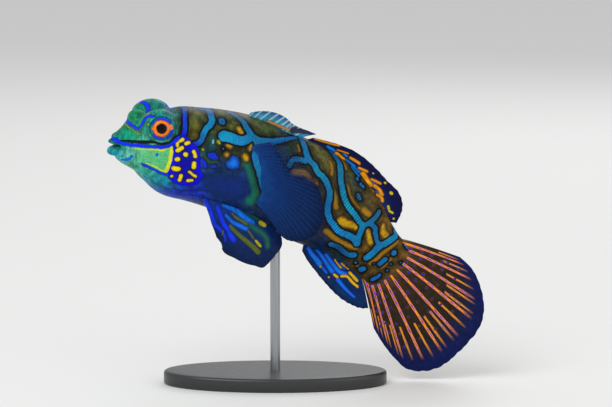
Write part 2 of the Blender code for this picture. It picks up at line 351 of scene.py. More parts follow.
skinShape = {
    "firstRing": 1.9, "lastRing": 54.6, "ringStep": 0.4, "ringPoints": 120,
    "finDiveFrom": 50.2, "finDiveHalf": (1.35, 0.12),  # half widths where the tail fin takes over
    "snoutBack": 4.4, "snoutLength": 2.5, "snoutPinch": 0.42,  # the snout narrows to the mouth
    "voxel": 0.178, "smoothing": 7,
    "bandBlend": 0.25, "markBlend": 0.02,  # mm over which strokes run together
    "midline": 3,  # mm from the midline in which both sides' marks show
}
fleshBlobs = [  # centre and radii in s, h and w
    ((7.4, 4.3, 3.0), (2.7, 3.0, 2.75)),  # eye turrets
    ((7.4, 4.3, -3.0), (2.7, 3.0, 2.75)),
    ((5.1, 4.2, -1.0), (1.45, 1.5, 1.7)),  # brow in front of the turrets
    ((3.1, 1.55, 0), (1.85, 0.95, 1.5)),  # upper jaw
    ((1.85, 0.85, 0), (1.15, 0.42, 1.25)),  # upper lip
    ((1.65, -0.7, 0), (1.3, 0.8, 1.3)),  # lower lip
    ((2.5, -1.1, 1.5), (0.7, 0.7, 0.5)),  # fold at each corner of the mouth
    ((2.5, -1.1, -1.5), (0.7, 0.7, 0.5)),
    ((22.2, 0.2, 4.7), (3.5, 4.6, 2.0)),  # fleshy base of the pectoral fins
    ((22.2, 0.2, -4.7), (3.5, 4.6, 2.0)),
    ((16.1, 3.6, 5.2), (0.55, 0.5, 0.62)),  # spouts of the gill pores
    ((16.1, 3.6, -5.2), (0.55, 0.5, 0.62)),
]


def bodyShell():
    rings = np.arange(skinShape["firstRing"], skinShape["lastRing"], skinShape["ringStep"])
    sizes = bodyFrame(rings)[4].copy()
    dive = np.clip((rings - skinShape["finDiveFrom"])
                   / (skinShape["lastRing"] - skinShape["finDiveFrom"]), 0, 1)
    thin, thinnest = skinShape["finDiveHalf"]
    sizes[:, 2] = np.where(dive > 0, thin * (1 - dive)**0.8 + thinnest, sizes[:, 2])
    pinch = np.clip((skinShape["snoutBack"] - rings) / skinShape["snoutLength"], 0, 1)**1.5
    sizes[:, 2] *= 1 - skinShape["snoutPinch"] * pinch
    angle = np.linspace(0, 2 * math.pi, skinShape["ringPoints"], endpoint=False)
    points = []
    for s, size in zip(rings, sizes):
        h, w = sectionCurve(size, angle)
        points.append(place(np.full(len(angle), s), h, w))
    count, columns = len(rings), len(angle)
    faces = gridFaces(count, columns)
    points = list(np.concatenate(points))
    for ring, s in ((0, rings[0] - 0.5), (count - 1, rings[-1] + 0.1)):
        faces += fanFaces(ring * columns, columns, len(points))
        points.append(place([s], [0], [0])[0])
    return points, faces


def blobShell(centre, radii, rows=22, columns=36):
    down = np.linspace(0, math.pi, rows)[1:-1]
    angle = np.linspace(0, 2 * math.pi, columns, endpoint=False)
    c, r = np.cos(down)[:, None], np.sin(down)[:, None]
    offset = [np.broadcast_to(c, (len(down), columns)), r * np.cos(angle), r * np.sin(angle)]
    s, h, w = (np.ravel(o) * k + m for o, k, m in zip(offset, radii, centre))
    points = list(place(s, h, w))
    faces = gridFaces(len(down), columns)
    for ring, way in ((0, 1), (len(down) - 1, -1)):
        faces += fanFaces(ring * columns, columns, len(points))
        points.append(place([centre[0] + way * radii[0]], [centre[1]], [centre[2]])[0])
    return points, faces


def outward(points, faces):
    # turns a closed shell's faces to the outside
    points = np.asarray(points)
    volume = 0
    for face in faces:
        a, b, c = (points[k] for k in face[:3])
        volume += np.dot(a, np.cross(b, c))
        if len(face) == 4:
            volume += np.dot(a, np.cross(c, points[face[3]]))
    return faces if volume > 0 else [face[::-1] for face in faces]


def smoothed(points, edges, rounds):
    # moves each vertex towards the mean of its neighbours, then part of the way back
    count = np.bincount(edges.ravel(), minlength=len(points)).astype(float)[:, None]
    for _ in range(rounds):
        for strength in (0.6, -0.45):
            total = np.zeros_like(points)
            for axis in range(3):
                total[:, axis] = (np.bincount(edges[:, 0], points[edges[:, 1], axis], len(points))
                                  + np.bincount(edges[:, 1], points[edges[:, 0], axis], len(points)))
            points = points + strength * (total / count - points)
    return points


# the eye: where it stands and looks, in s, h and w
eyeShape = {"at": (7.4, 4.3, 3.0), "looks": (-0.24, 0.20, 0.95), "radius": 2.1, "standsOut": 1.2,
            "opening": 1.86, "rim": 0.16, "rimAway": 0.16, "rimSoft": 0.2, "lidSoft": 0.3, "sink": 0.7,
            "ringReach": 2.9, "ringSpacing": 0.46, "ringDepth": 0.16}


def eyeAxis(sideSign):
    s, h, w = eyeShape["at"]
    _, along, up, side, _ = bodyFrame([s])
    centre = place([s], [h], [w * sideSign])[0]
    looks = np.array(eyeShape["looks"]) / np.linalg.norm(eyeShape["looks"])
    axis = along[0] * looks[0] + up[0] * looks[1] + side[0] * looks[2] * sideSign
    back = along[0] - axis * (along[0] @ axis)  # towards the tail, across the line of sight
    back /= np.linalg.norm(back)
    over = np.cross(back, axis) * -sideSign
    over *= np.sign(over @ up[0])
    return centre + axis * eyeShape["standsOut"], axis, back, over


mouthSlit = {"height": 0.36, "half": 0.17, "corner": 2.3, "ease": 0.5, "back": (3.4, 0.3), "pull": 0.55}
relief = [  # height in mm, softness, and strokes of the skin that stand up or sink
    (-0.16, 0.25, [(0.14, [(10.3, 12.4), (11, 13.7), (12, 14.6), (13.2, 14.7), (14.7, 14.0),
                           (15.4, 13.1), (14.9, 11.9), (14.2, 10.8), (13.8, 9.6), (13.7, 8.7),
                           (13.3, 7.8)])]),
    (0.14, 0.5, [(0.5, [(5.2, 7.4), (7.0, 8.6), (8.6, 9.6), (9, 11)])]),
    (-0.12, 0.2, [(0.1, [(2.6, 6.3), (3.3, 7.0), (3.9, 7.0)])]),
    (-0.25, 0.2, [(0.12, [(3.35, 2.3)])]),  # nostril
]

markings = {  # half width in mm, or one for each end, then s and g of each path
    "network": [
        (.33, [(11.1, -1), (11, .4), (10.8, 2.9), (10.8, 4.5), (10.8, 5.6), (10.7, 6.4), (10.3, 6.9)]),
        ((.6, .38), [(15.4, .6), (15.4, 2.5), (15.5, 3.5), (15, 4.5), (14.4, 5), (14, 6), (13.8, 6.7),
                     (13.4, 7.4), (12.8, 7.7), (12.2, 8)]),
        (.3, [(13, .1), (14, .2), (15.2, .5)]),
        (.48, [(17.1, 3.2), (17.1, 3.7)]),
        ((.9, .6), [(17.5, 6.1), (18.5, 6.25), (19.4, 6.4), (20.2, 6.4), (20.9, 6), (21.5, 5.4)]),
        ((.35, .5), [(18.6, .3), (19.3, 1.4), (20.4, 3), (20.9, 4.1), (21.7, 5.1), (22.6, 5.6)]),
        ((.6, .35), [(22.6, 5.7), (23.4, 5.3), (24.4, 4.7), (25.9, 3.4), (27.3, 2.4), (28.8, 1.2)]),
        (.52, [(22.7, 5.8), (22.8, 7), (22.7, 8), (23.4, 9.2), (24.2, 9.9), (24.8, 10.4), (25.5, 11.1),
               (26.3, 11.8), (26.9, 12.4), (27, 13.6)]),
        ((.38, .55), [(29.6, -.1), (30.4, 2.6), (30.8, 3.6), (31.4, 4.5), (32.3, 5), (33.1, 5.6),
                      (34.4, 5.9), (35.4, 6.4), (36.2, 7), (36.9, 8), (37.5, 9.1), (38.5, 9.9),
                      (40, 10), (41.4, 9.8), (43, 8.9), (44.2, 8), (44.9, 7.7)]),
        (.5, [(45.2, 7.4), (45.5, 7.7)]),
        (.4, [(31, 5), (30.1, 5.2), (29.2, 5.6), (28.8, 6.8)]),
        (.43, [(33.8, .3), (34.7, 1.3), (35.5, 2.2), (36.1, 3.2), (36.8, 4.4), (37.8, 5.3), (39, 6),
               (40.2, 6.2), (41.6, 6), (43, 5.8), (44, 5.7), (44.6, 6.6), (45.1, 7.2)]),
        (.35, [(44, 5.5), (44.3, 4.2), (44.3, 3), (44.1, 2)]),
        (.35, [(44.6, 4.2), (45.5, 3.8), (46.5, 4.2), (47.5, 4.3), (47.9, 4.2)]),
        (.5, [(48.5, .5), (49, 1), (48.9, 2), (48.6, 3.3), (48.3, 4.5), (48.4, 6), (48.4, 7.1)]),
        (.45, [(42.5, 12), (44.2, 10.8), (45.3, 10.3), (46.4, 9.4), (46.7, 8.9)]),
        (.27, [(40.2, 3.8), (40.7, 3.9)]),
        (.34, [(37.5, .9), (38.6, 1.3)]), (.24, [(38.8, 2)]), (.26, [(39.6, 2.2), (40.1, 2.1)]),
        (.45, [(49.4, 8.6), (49.3, 9)]),
        (.38, [(50.6, 6), (50.7, 4.7)]),
        (.45, [(50.9, 2.8)]),
        (.28, [(51.7, 8.8), (51.9, 8), (52, 7.4)]),
        (.22, [(47.8, 9.2)]), (.3, [(51.4, .6)]), (.22, [(51.9, -.8)]), (.2, [(53, -.5)]),
        (.14, [(51.9, 4.7)]), (.14, [(52.9, 3.4)]), (.12, [(53.5, 3)]), (.15, [(52.3, 5.9)]),
        (.12, [(49.9, 6.6)]), (.16, [(17.6, 8.1)]),
    ],
    "cobaltLine": [
        ((.2, .24), [(1.3, .1), (1.6, 1.2), (2, 2.3), (3, 4.1), (4, 5.3), (5, 6.1), (6, 6.7), (7, 7.1),
                      (8, 7.5), (8.9, 7.5), (9.6, 7), (10.1, 6.4)]),
        (.17, [(5.4, 9.4), (6.2, 10.2), (7, 10.8), (8, 11.5), (9, 12.2), (9.9, 12.6)]),
        ((.24, .21), [(3.4, -.2), (3.6, .9), (4, 2), (4.4, 2.8), (4.8, 3.2), (5.1, 3), (5.3, 2.8),
                      (5.7, 3.2)]),
    ],
    "azureMark": [(.3, [(7.2, 8.5)]), (.24, [(2.6, 7.1), (3, 7.4), (3.4, 7.3), (3.7, 6.9)]),
                  (.32, [(6.6, 13)])],
    "black": [
        ((.1, .3), [(1.6, 1.5), (2, 2.1), (3, 3.5), (4, 4.7), (5, 5.4)]),
        ((.3, .16), [(5, 5.4), (6, 6), (7, 6.6), (8, 7), (8.9, 6.9), (9.5, 6.4), (10, 6)]),
        ((.13, .08), [(10, 6), (10.2, 4.6), (10.2, 3), (10, 1.6)]),
    ],
    "lime": [
        (.08, [(3, -.2), (3.1, .6), (3.5, 2), (4, 2.9), (4.5, 3.9), (5, 4.1)]),
        (.19, [(4.7, 2.7), (4.8, 3)]), (.18, [(5.4, 2.3), (5.3, 3.1)]), (.12, [(5.3, 3.8)]),
        (.2, [(14.2, 8.5)]), (.14, [(16.6, 7), (16.9, 7.4)]),
    ],
    "yellow": [
        (.24, [(10.3, 7.1), (10.7, 6.9)]), (.28, [(11.3, 7.7), (11.7, 7.5)]),
        (.24, [(10, 7.4), (10.1, 7.8)]), (.32, [(10.3, 8.6), (10.8, 8.3)]), (.37, [(11.6, 9.4)]),
        (.28, [(12.7, 8.9), (13.1, 9.6)]), (.38, [(10.6, 10.1)]), (.38, [(13.2, 10.8), (13.3, 11.3)]),
        (.4, [(10.5, 11.6), (11, 11.7)]), (.2, [(12.7, 12.2), (14, 12.9)]), (.2, [(10.5, 13)]),
        (.28, [(11.7, 12.9), (11.7, 13.7)]), (.25, [(12.9, 13.7), (13.6, 13.7)]),
    ],
    "cheekEdge": [
        ((.09, .25), [(4, 5.7), (5, 6.6), (6, 7.1), (7, 7.5), (8, 8), (8.5, 7.9), (9.1, 7.7)]),
        ((.26, .28), [(9.2, 7.8), (9.4, 8.5), (9.5, 9.2), (9.6, 10), (9.6, 11), (9.5, 11.9)]),
        ((.2, .08), [(9.5, 12), (8.8, 11.6), (8, 11), (7, 10.3), (5.9, 9.4)]),
    ],
    "mossTail": [(.15, [(14.3, 9), (14.7, 9.6), (15.3, 10.1), (15.9, 10.5), (16.8, 10.2)])],
    "gold": [
        (.36, [(19.6, 4.4), (20, 5)]), (.26, [(16.7, 7.1)]), (.3, [(18.2, 7.5), (18.6, 7.6)]),
        (.35, [(18.2, 9)]), (.28, [(21.8, 6.5), (21.8, 7.3)]), (.4, [(21.2, 8.6), (21.4, 9)]),
        ((.6, .35), [(29.9, 7.6), (30.8, 7.1), (31.7, 6.9), (32.3, 7.2), (33.7, 7.4)]),
        ((.75, .45), [(40.8, 8.5), (41.7, 8), (42.6, 7.2), (43.3, 6.7)]),
        ((.34, .5), [(44.9, 5.2), (45.9, 5.2), (46.8, 5.4)]),
        ((.3, .6), [(46.2, 2.2), (47, 2.8), (47.6, 2.6)]),
    ],
    "tan": [
        (.5, [(42.3, 4.3), (43.2, 3.9)]), (.14, [(29.4, 2.9), (29.8, 3.8)]),
        (.14, [(38, 4.2), (39.2, 4.9), (40.4, 5), (41.7, 4.7)]), (.2, [(35.4, .9), (36.1, 1.6), (36.7, 2.3)]),
        (.2, [(34.2, 3), (34.8, 3.7), (35.2, 4.7)]), ((.2, .4), [(36.2, 6.2), (37.4, 7), (38.6, 8)]),
        ((.5, .4), [(40, 11.6), (42.1, 10.9), (44, 9.8), (45.4, 8.6), (45.9, 8.1)]),
        (.3, [(48.6, 9.2)]), (.2, [(51.3, 3.9), (51.4, 5.2), (51.2, 6.3)]),
        (.3, [(49.9, 1.2), (49.8, 2.6), (49.6, 4), (49.6, 5.6), (49.5, 7)]),
    ],
    "lobeEdge": [((.5, .8), [(21.6, 9.5), (22.4, 10.2), (23.3, 11.1), (24.4, 11.9), (25.2, 12.7),
                             (25.7, 13.6), (25.2, 14.8)])],
    "membrane": [(.12, [(10.6, 15.6), (13, 15.8), (15.4, 15.4), (17.4, 15.6)]),
                 (.12, [(12.2, 17), (15, 16.8), (17.2, 17)])],
    # painted highlight: a pale cyan fleck on the spout of each gill pore
    "poreHighlight": [(.13, [(15.8, 6.9), (15.8, 7.4)])],
}
farMarkings = {  # on the right turret only, where the left one doesn't hide them
    "cobaltLine": [
        (.2, [(5.6, -3.1), (5.7, -1.9), (6.05, -1.4), (6.1, -.8), (6.2, .1)]),
        (.22, [(7.9, -3.2), (8.3, -2.6), (8.8, -2.4), (9.1, -1.6), (9.3, -.6)]),
    ],
}
patches = {  # outlines of filled areas, in s and g
    "gillCover": [[(9.4, 7.2), (10, 6.5), (10.8, 6.3), (11.6, 6.9), (12.4, 7.7), (13.2, 8.3), (13.8, 9),
                   (14, 10), (14.1, 11), (14.5, 11.8), (15.1, 12.6), (15, 13.6), (14.6, 14.4),
                   (13.5, 14.8), (12.2, 14.8), (11, 14.2), (10.2, 13.2), (9.8, 12.2), (9.8, 10.5),
                   (9.8, 9.3), (9.6, 8.3), (9.5, 7.6)]],
    "cheekPlate": [[(3.5, 5), (5, 6.4), (6, 7), (7, 7.4), (8, 7.9), (9, 7.6), (9.4, 8.5), (9.6, 9.5),
                    (9.7, 11), (9.5, 12), (8, 11.1), (7, 10.4), (5.8, 9.4)]],
    "lobePatch": [[(15.5, 11.8), (18, 11.7), (20, 11.6), (21.8, 11), (23.6, 12.4), (24.6, 13.6),
                   (24.2, 15.6), (22, 16.8), (18, 16.6), (15.6, 15)]],
    "bluePatch": [[(15.1, 9), (16.3, 8.9), (16.9, 9.5), (17.1, 9.9), (16.2, 10), (15.3, 9.7)],
                  [(14, 9.9), (14.5, 9.9), (15.2, 10.6), (15.5, 11.1), (15.4, 11.4), (14.3, 11.5)],
                  [(15.8, 10.9), (16.9, 10.8), (17, 11.3), (15.8, 11.3)]],
    "azurePatch": [[(19.3, 9), (20, 9.1), (20.6, 9.9), (20.6, 10.6), (19.7, 11.1), (18.7, 10.9),
                    (18.4, 10.3), (18.9, 9.6)]],
}
groundPaints = [  # s, g and colour
    (1.0, 2, "#0c8a9a"), (2.2, 1.5, "#0a8a70"), (4, 3.6, "#06926a"), (4.6, 0, "#128a5a"),
    (3, 2.6, "#069a70"), (3, .6, "#12905c"),
    (6, -2.4, "#4f7c50"), (7, -1, "#176a66"), (5.2, 1.6, "#0a8a66"), (5.2, -1.4, "#0c8c68"),
    (5, -2.8, "#3f8466"), (8.4, -1.4, "#14626a"),
    (7.4, 4.3, "#0a7f86"), (9, 2, "#0c7878"), (9.2, 4.6, "#0c8a80"), (6.6, 2.4, "#0e8a80"),
    (8.5, 0, "#1f5e50"), (1.2, 5, "#089cb4"), (1.8, 6, "#0a9cb0"), (3, 5.8, "#62bca4"), (4, 6.4, "#5cbc9c"),
    (5.2, 8, "#58c48c"), (8, 9.5, "#4fc480"), (4, 9, "#4ab094"), (6, 12, "#2ca494"),
    (8.5, 13.6, "#128e98"), (9, 15.4, "#0a78a4"), (10.5, 17, "#0a44b4"), (9.6, 4, "#4f5230"),
    (12.3, 2, "#5e5c22"), (12.4, 4.4, "#6a6a1e"), (13.3, 3.4, "#3f4a2c"), (12.6, 6, "#5c5410"),
    (16.5, 1.6, "#4a4c1a"), (16, 5, "#555a24"), (18, 4.5, "#5c6228"), (18.6, 2.4, "#3c5428"),
    (15.5, 6.8, "#1c4c40"), (20, .8, "#4c4e20"), (22.4, 1.6, "#4a5420"), (24, 2.4, "#3a4c24"),
    (26.5, 1, "#0c4058"), (29, 1.2, "#143c44"),
    (26, 6, "#0a3450"), (15.6, 8.4, "#083c48"), (17, 8.5, "#1c2c24"), (20, 7.8, "#2c3a1a"),
    (18, 11.6, "#06305c"), (12, 17, "#0a28c0"), (14.5, 15.8, "#0a30c0"), (16.4, 13.6, "#042c78"),
    (17, 19, "#04246a"), (22, 18, "#04225c"), (20, 14, "#04245c"), (22.4, 12.8, "#06306c"),
    (28, 3.6, "#243c24"), (29, 9, "#06285c"), (30, 14, "#041f50"), (31.6, 2, "#5a5824"),
    (33, 3.8, "#54582c"), (33.5, 8, "#08305c"), (35.4, 5.4, "#4c4c24"), (35, 3.6, "#6a5c20"),
    (37, 12, "#04204e"), (38, 7.4, "#4a4820"), (38.4, 3.4, "#46523a"), (38, 2, "#4a5030"),
    (41, 7.4, "#5c4a10"), (42, 2.4, "#5c4c20"), (40.6, 4.8, "#5a4c1a"), (41.5, 14, "#062a58"),
    (43.8, 8.8, "#5a4414"), (46, 2.5, "#7a5a1a"), (47, 6.6, "#7c5a16"), (46, 7.2, "#74561a"),
    (46, 12, "#1c3c4c"), (50, 4, "#84641a"), (50, 7.6, "#785c1c"), (50, 9.6, "#5c4c1e"),
    (53, 3, "#74561c"), (53, 8, "#5a4620"), (30, 20, "#041a44"),
]
bandPaints = [
    (11, 1, "#0a50b0"), (10.8, 3, "#0a40e0"), (10.6, 6.6, "#0a18e8"), (13.6, 0.2, "#0a4a90"),
    (15.4, 1.6, "#0a5c9c"), (15.4, 3.2, "#0a88bc"), (14.4, 5, "#0a8cbc"), (13.6, 6.8, "#0a6cb0"),
    (12.6, 7.8, "#0a30d0"), (17.1, 3.4, "#0a5c98"), (18, 6.2, "#0a9ccc"), (20, 6.4, "#0a88c4"),
    (19.3, 1.4, "#0a588c"), (20.6, 3.6, "#0a70a4"), (22.4, 5.6, "#0a74a8"), (25, 4, "#0a6cb0"),
    (28, 2, "#0a5ca0"), (22.8, 7.5, "#0a70b4"), (24, 9.8, "#0a84c0"), (25.5, 11, "#0a70b4"),
    (27, 13.5, "#0a70b8"), (30, 2.6, "#0a70a8"), (31.2, 4.8, "#0a7ab0"), (29, 6, "#0a74b0"),
    (33.4, 5.6, "#0a90bc"), (36, 6.8, "#0a7cb4"), (37, 8.4, "#0a78bc"), (39, 10, "#0a8ad4"),
    (41, 10, "#0a98e0"), (43.6, 8.6, "#0a84c4"), (34.7, 1.3, "#0a5c90"), (36.2, 3.4, "#0a7aa4"),
    (38.4, 5.7, "#0a84b0"), (40.4, 6.2, "#0aa0c4"), (43, 5.8, "#0a84b4"), (44.3, 3, "#0a6ca0"),
    (46.5, 4.2, "#0a6ca8"), (48.5, 3, "#0a84bc"), (48.4, 6.6, "#0a88c0"), (44, 10.8, "#08508c"),
    (50.6, 5.4, "#0a70b4"), (49.4, 8.8, "#0a74b8"), (51.8, 8, "#0a70c8"), (38, 1, "#0a74c0"),
    (39.8, 2.1, "#0a64b8"), (40.4, 3.9, "#0a5c88"),
]


skinPaint = {  # sizes in mm
    "wobble": 0.16,  # how far a painted edge wanders
    "grains": ((0.9, 3), (0.9, 4), (0.22, 2), (0.3, 3), (1.6, 3)),  # size and detail of each
    "streak": (0.2, 1.5),  # brush streaks: how far apart along the body, and how long round it
    "hatch": 0.42, "hatchFrom": 37.5, "hatchTo": 42, "hatchEase": 2, "hatchDepth": 0.5,
    "pitDepth": 0.06,
}


# varnished resin skin: a painted cast under thin satin varnish, which gives the eye deep colour
def makeSkinMaterial():
    material, tree = newMaterial("varnishedResinSkin")
    where = addNode(tree, "ShaderNodeTexCoord").outputs["Object"]
    wander, mottle, speckle, pits, gloss = (
        addNode(tree, "ShaderNodeTexNoise", {},
                {"Vector": where, "Scale": 1 / (size * mm), "Detail": detail}).outputs["Fac"]
        for size, detail in skinPaint["grains"])
    spine, girth, groundColour, bandColour = (
        addNode(tree, "ShaderNodeAttribute", {"attribute_name": name}).outputs
        for name in ("spine", "girth", "groundColour", "bandColour"))
    wobble = addNode(tree, "ShaderNodeMapRange", {},
                     {"Value": wander, "To Min": -skinPaint["wobble"],
                      "To Max": skinPaint["wobble"]}).outputs[0]
    # brush streaks that run round the body
    apart, reach = skinPaint["streak"]
    lie = addNode(tree, "ShaderNodeCombineXYZ", {}, {0: spine["Fac"], 1: girth["Fac"], 2: 0.0})
    lie = addNode(tree, "ShaderNodeMapping", {},
                  {"Vector": lie.outputs[0], "Scale": (1 / apart, 1 / reach, 1)})
    streaks = addNode(tree, "ShaderNodeTexNoise", {},
                      {"Vector": lie.outputs[0], "Scale": 1.0, "Detail": 2.0}).outputs["Fac"]
    # some of the bands are hatched across
    turns = addNode(tree, "ShaderNodeMath", {"operation": "MULTIPLY"},
                    {0: spine["Fac"], 1: 2 * math.pi / skinPaint["hatch"]})
    wave = addNode(tree, "ShaderNodeMath", {"operation": "SINE"}, {0: turns.outputs[0]})
    begun, ended = (
        addNode(tree, "ShaderNodeMapRange", {"interpolation_type": "SMOOTHSTEP"},
                {"Value": spine["Fac"], "From Min": start, "From Max": start + skinPaint["hatchEase"],
                 "To Min": 0, "To Max": skinPaint["hatchDepth"]}).outputs[0]
        for start in (skinPaint["hatchFrom"], skinPaint["hatchTo"]))
    hatched = addNode(tree, "ShaderNodeMath", {"operation": "SUBTRACT"}, {0: begun, 1: ended})
    dip = addNode(tree, "ShaderNodeMath", {"operation": "MULTIPLY_ADD"},
                  {0: wave.outputs[0], 1: hatched.outputs[0], 2: 1.0}).outputs[0]
    band = addNode(tree, "ShaderNodeMix", {"data_type": "RGBA", "blend_type": "MULTIPLY"},
                   {0: 1.0, 6: bandColour["Color"], 7: dip}).outputs[2]
    middle, ease = (0.3, 0.7), "SMOOTHSTEP"
    ground = shaded(tree, groundColour["Color"], mottle, middle, (0.6, 1.4), ease)
    ground = shaded(tree, ground, streaks, middle, (0.62, 1.08), ease)
    band = shaded(tree, band, streaks, middle, (0.66, 0.92), ease)
    gilt = shaded(tree, tint("#cca00c"), streaks, middle, (0.55, 1.25), ease)
    colour = paintOver(tree, ground, [
        ("lobePatch", -0.3, 0.9, "#042460", 0.8),
        ("lobePatch", -1.4, 0.8, "#052a7c", 0.6),
        ("lobeEdge", 0.1, 0.35, "#0a6450", 0.9),
        ("lobeEdge", -0.3, 0.3, "#0c7a5c", 0.6),
        ("membrane", 0.1, 0.3, "#03124c", 0.6),
        ("cheekPlate", 0.0, 0.5, "#64c078", 0.6),
        ("network", 0.9, 0.6, "#14120a", 0.65),
        ("gold", 0.42, 0.3, "#0f0c04", 0.7),
        ("tan", 0.3, 0.3, "#120e04", 0.5),
        ("tan", 0.0, 0.2, "#8c6414", 0.85),
        ("tan", -0.2, 0.2, "#b08410", 0.6),
        ("gold", 0.06, 0.26, "#8c6410", 0.9),
        ("gold", -0.16, 0.2, gilt, 0.9),
        ("bluePatch", 0.22, 0.2, "#02050e", 0.8),
        ("bluePatch", -0.02, 0.14, "#0a30c0", 0.95),
        ("azurePatch", 0.3, 0.3, "#021424", 0.8),
        ("azurePatch", 0.0, 0.2, "#0a48c0", 0.95),
        ("azurePatch", -0.4, 0.3, "#0c78d8", 0.9),
        ("network", 0.33, 0.12, "#010305", 0.97),
        ("network", 0.0, 0.08, band, 1.0),
        ("gillCover", 0.12, 0.14, "#04083c", 0.9),
        ("gillCover", 0.0, 0.1, "#0606dc", 1.0),
        ("gillCover", -0.8, 0.5, "#03036c", 0.7),
        ("yellow", 0.18, 0.08, "#03031c", 0.85),
        ("yellow", 0.02, 0.06, "#c4a800", 1.0),
        ("yellow", -0.1, 0.1, "#f0dc04", 0.9),
        ("mossTail", 0.0, 0.14, "#24501c", 0.85),
        ("lime", 0.12, 0.16, "#1c3c20", 0.5),
        ("lime", 0.0, 0.1, "#94a418", 0.85),
        ("azureMark", 0.0, 0.08, "#0a5ccc", 0.95),
        # painted highlight on the gill pore's spout
        ("poreHighlight", 0.0, 0.12, "#7cccd0", 0.8),
        ("black", 0.02, 0.09, "#03060c", 0.97),
        ("cheekEdge", 0.0, 0.09, "#b8d40c", 0.8),
        ("cheekEdge", -0.04, 0.07, "#e0e004", 0.9),
        ("cobaltLine", 0.12, 0.09, "#020828", 0.8),
        ("cobaltLine", 0.0, 0.06, "#0a2cf0", 1.0),
        # painted shade: a near-black coat along the mouth slit, where the lips meet
        ("slit", 0.55, 0.35, "#02161a", 0.9),
    ], wobble)
    colour = shaded(tree, colour, speckle, (0.35, 0.7), (0.86, 1.18), ease)
    bump = addNode(tree, "ShaderNodeBump", {},
                   {"Strength": 0.25, "Distance": skinPaint["pitDepth"] * mm, "Height": pits}).outputs[0]
    rough = addNode(tree, "ShaderNodeMapRange", {},
                    {"Value": gloss, "To Min": 0.3, "To Max": 0.5}).outputs[0]
    return finishMaterial(material, {"Base Color": colour, "Roughness": rough, "IOR": 1.5,
                                     "Specular IOR Level": 0.1, "Coat Weight": 0.03,
                                     "Coat Roughness": 0.2, "Normal": bump})


def fleshMesh():
    # the body and the blobs as one closed, smoothed mesh, still in mm
    points, faces = bodyShell()
    faces = outward(points, faces)
    for centre, radii in fleshBlobs:
        more, moreFaces = blobShell(centre, radii)
        faces = faces + [tuple(len(points) + k for k in face) for face in outward(more, moreFaces)]
        points = points + more
    shells = bpy.data.meshes.new("fleshShells")
    shells.from_pydata([tuple(p) for p in points], [], faces)
    draft = addObject("fleshShells", shells)
    remesh = draft.modifiers.new("oneSkin", "REMESH")
    remesh.mode, remesh.voxel_size = "VOXEL", skinShape["voxel"]
    mesh = plainMesh(draft)
    edges = np.empty(len(mesh.edges) * 2, np.int32)
    mesh.edges.foreach_get("vertices", edges)
    points = smoothed(meshPoints(mesh), edges.reshape(-1, 2), skinShape["smoothing"])
    mesh.vertices.foreach_set("co", points.ravel())
    mesh.update()
    return mesh, points


def roundEye(points, sideSign):
    # depth towards the eye's front, distance from its axis, and the axis
    centre, axis, _, _ = eyeAxis(sideSign)
    depth = (points - centre) @ axis
    return depth, np.linalg.norm(points - centre - depth[:, None] * axis, axis=1), axis


def carved(points, slit):
    # the mouth, and a hollow with a raised rim for each eye
    backAt, backHeight = mouthSlit["back"]
    throat = place([backAt], [backHeight], [0])[0]
    points = points + (throat - points) * (mouthSlit["pull"] * slit)[:, None]
    lip = eyeShape["opening"]
    for sideSign in (1, -1):
        depth, out, axis = roundEye(points, sideSign)
        sunk = np.where(depth > 0, np.clip((lip - out) / eyeShape["lidSoft"], 0, 1), 0)
        rim = np.exp(-((out - lip - eyeShape["rimAway"]) / eyeShape["rimSoft"])**2)
        rim = np.where(depth > 0, rim, 0)
        points = points + axis * (eyeShape["rim"] * rim - eyeShape["sink"] * sunk)[:, None]
    return points


def makeSkin():
    mesh, points = fleshMesh()
    normals = meshNormals(mesh)
    s, h, w = bodyCoordinates(points)
    girth = girthOf(s, h, w)
    finder = KDTree(len(points))
    for k, (across, around) in enumerate(zip(s, np.sign(w) * girth)):
        finder.insert((across, around, 0), k)
    finder.balance()
    here = np.stack([s, h, w], 1)

    def layOnSkin(path):
        # s and g of a path to the s, h and w of the skin there
        return np.array([here[[found[1] for found in finder.find_n((*spot, 0), 5)]].mean(0)
                         for spot in path])
    near, far = here.copy(), here.copy()
    near[:, 2], far[:, 2] = np.abs(w), -np.abs(w)
    flat = np.stack([s, girth], 1)
    for height, soft, strokes in relief:
        gap = strokeField(near, strokes, lay=layOnSkin)
        points = points + normals * (height * np.clip(1 - gap / soft, 0, 1)**2)[:, None]
    slit = np.exp(-((h - mouthSlit["height"]) / mouthSlit["half"])**2)
    slit *= np.clip((mouthSlit["corner"] - s) / mouthSlit["ease"], 0, 1)
    points = carved(points, slit)
    mesh.vertices.foreach_set("co", (points * mm).ravel())
    mesh.update()
    midline = np.abs(w) < skinShape["midline"]
    for name, strokes in markings.items():
        blend = skinShape["bandBlend" if name == "network" else "markBlend"]
        field = strokeField(near, strokes, blend, layOnSkin)
        field[midline] = np.minimum(field[midline], strokeField(far[midline], strokes, blend, layOnSkin))
        if name in farMarkings:
            field = np.minimum(field, strokeField(here, farMarkings[name], lay=layOnSkin))
        setField(mesh, name, field)
    for name, outlines in patches.items():
        setField(mesh, name, np.min([patchField(flat, outline) for outline in outlines], axis=0))
    for name, values in (("slit", 1 - slit), ("spine", s), ("girth", girth)):
        setField(mesh, name, values)
    ground = blendColours(flat, groundPaints)
    for sideSign in (1, -1):  # faint rings round each eye
        depth, out, _ = roundEye(points, sideSign)
        ring = np.where((depth > -1.5) & (out < eyeShape["ringReach"]),
                        np.cos(out * 2 * math.pi / eyeShape["ringSpacing"]), 0)
        ground *= (1 - eyeShape["ringDepth"] * ring)[:, None]
    setColours(mesh, "groundColour", ground)
    setColours(mesh, "bandColour", blendColours(flat, bandPaints))
    mesh.materials.clear()
    mesh.materials.append(makeSkinMaterial())
    mesh.shade_smooth()
    print("skin:", len(mesh.polygons), "faces")
    return addObject("skin", mesh)


skin = makeSkin()
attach(skin, "root")
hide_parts("head", "trunk", "tail_stalk")


# eyes

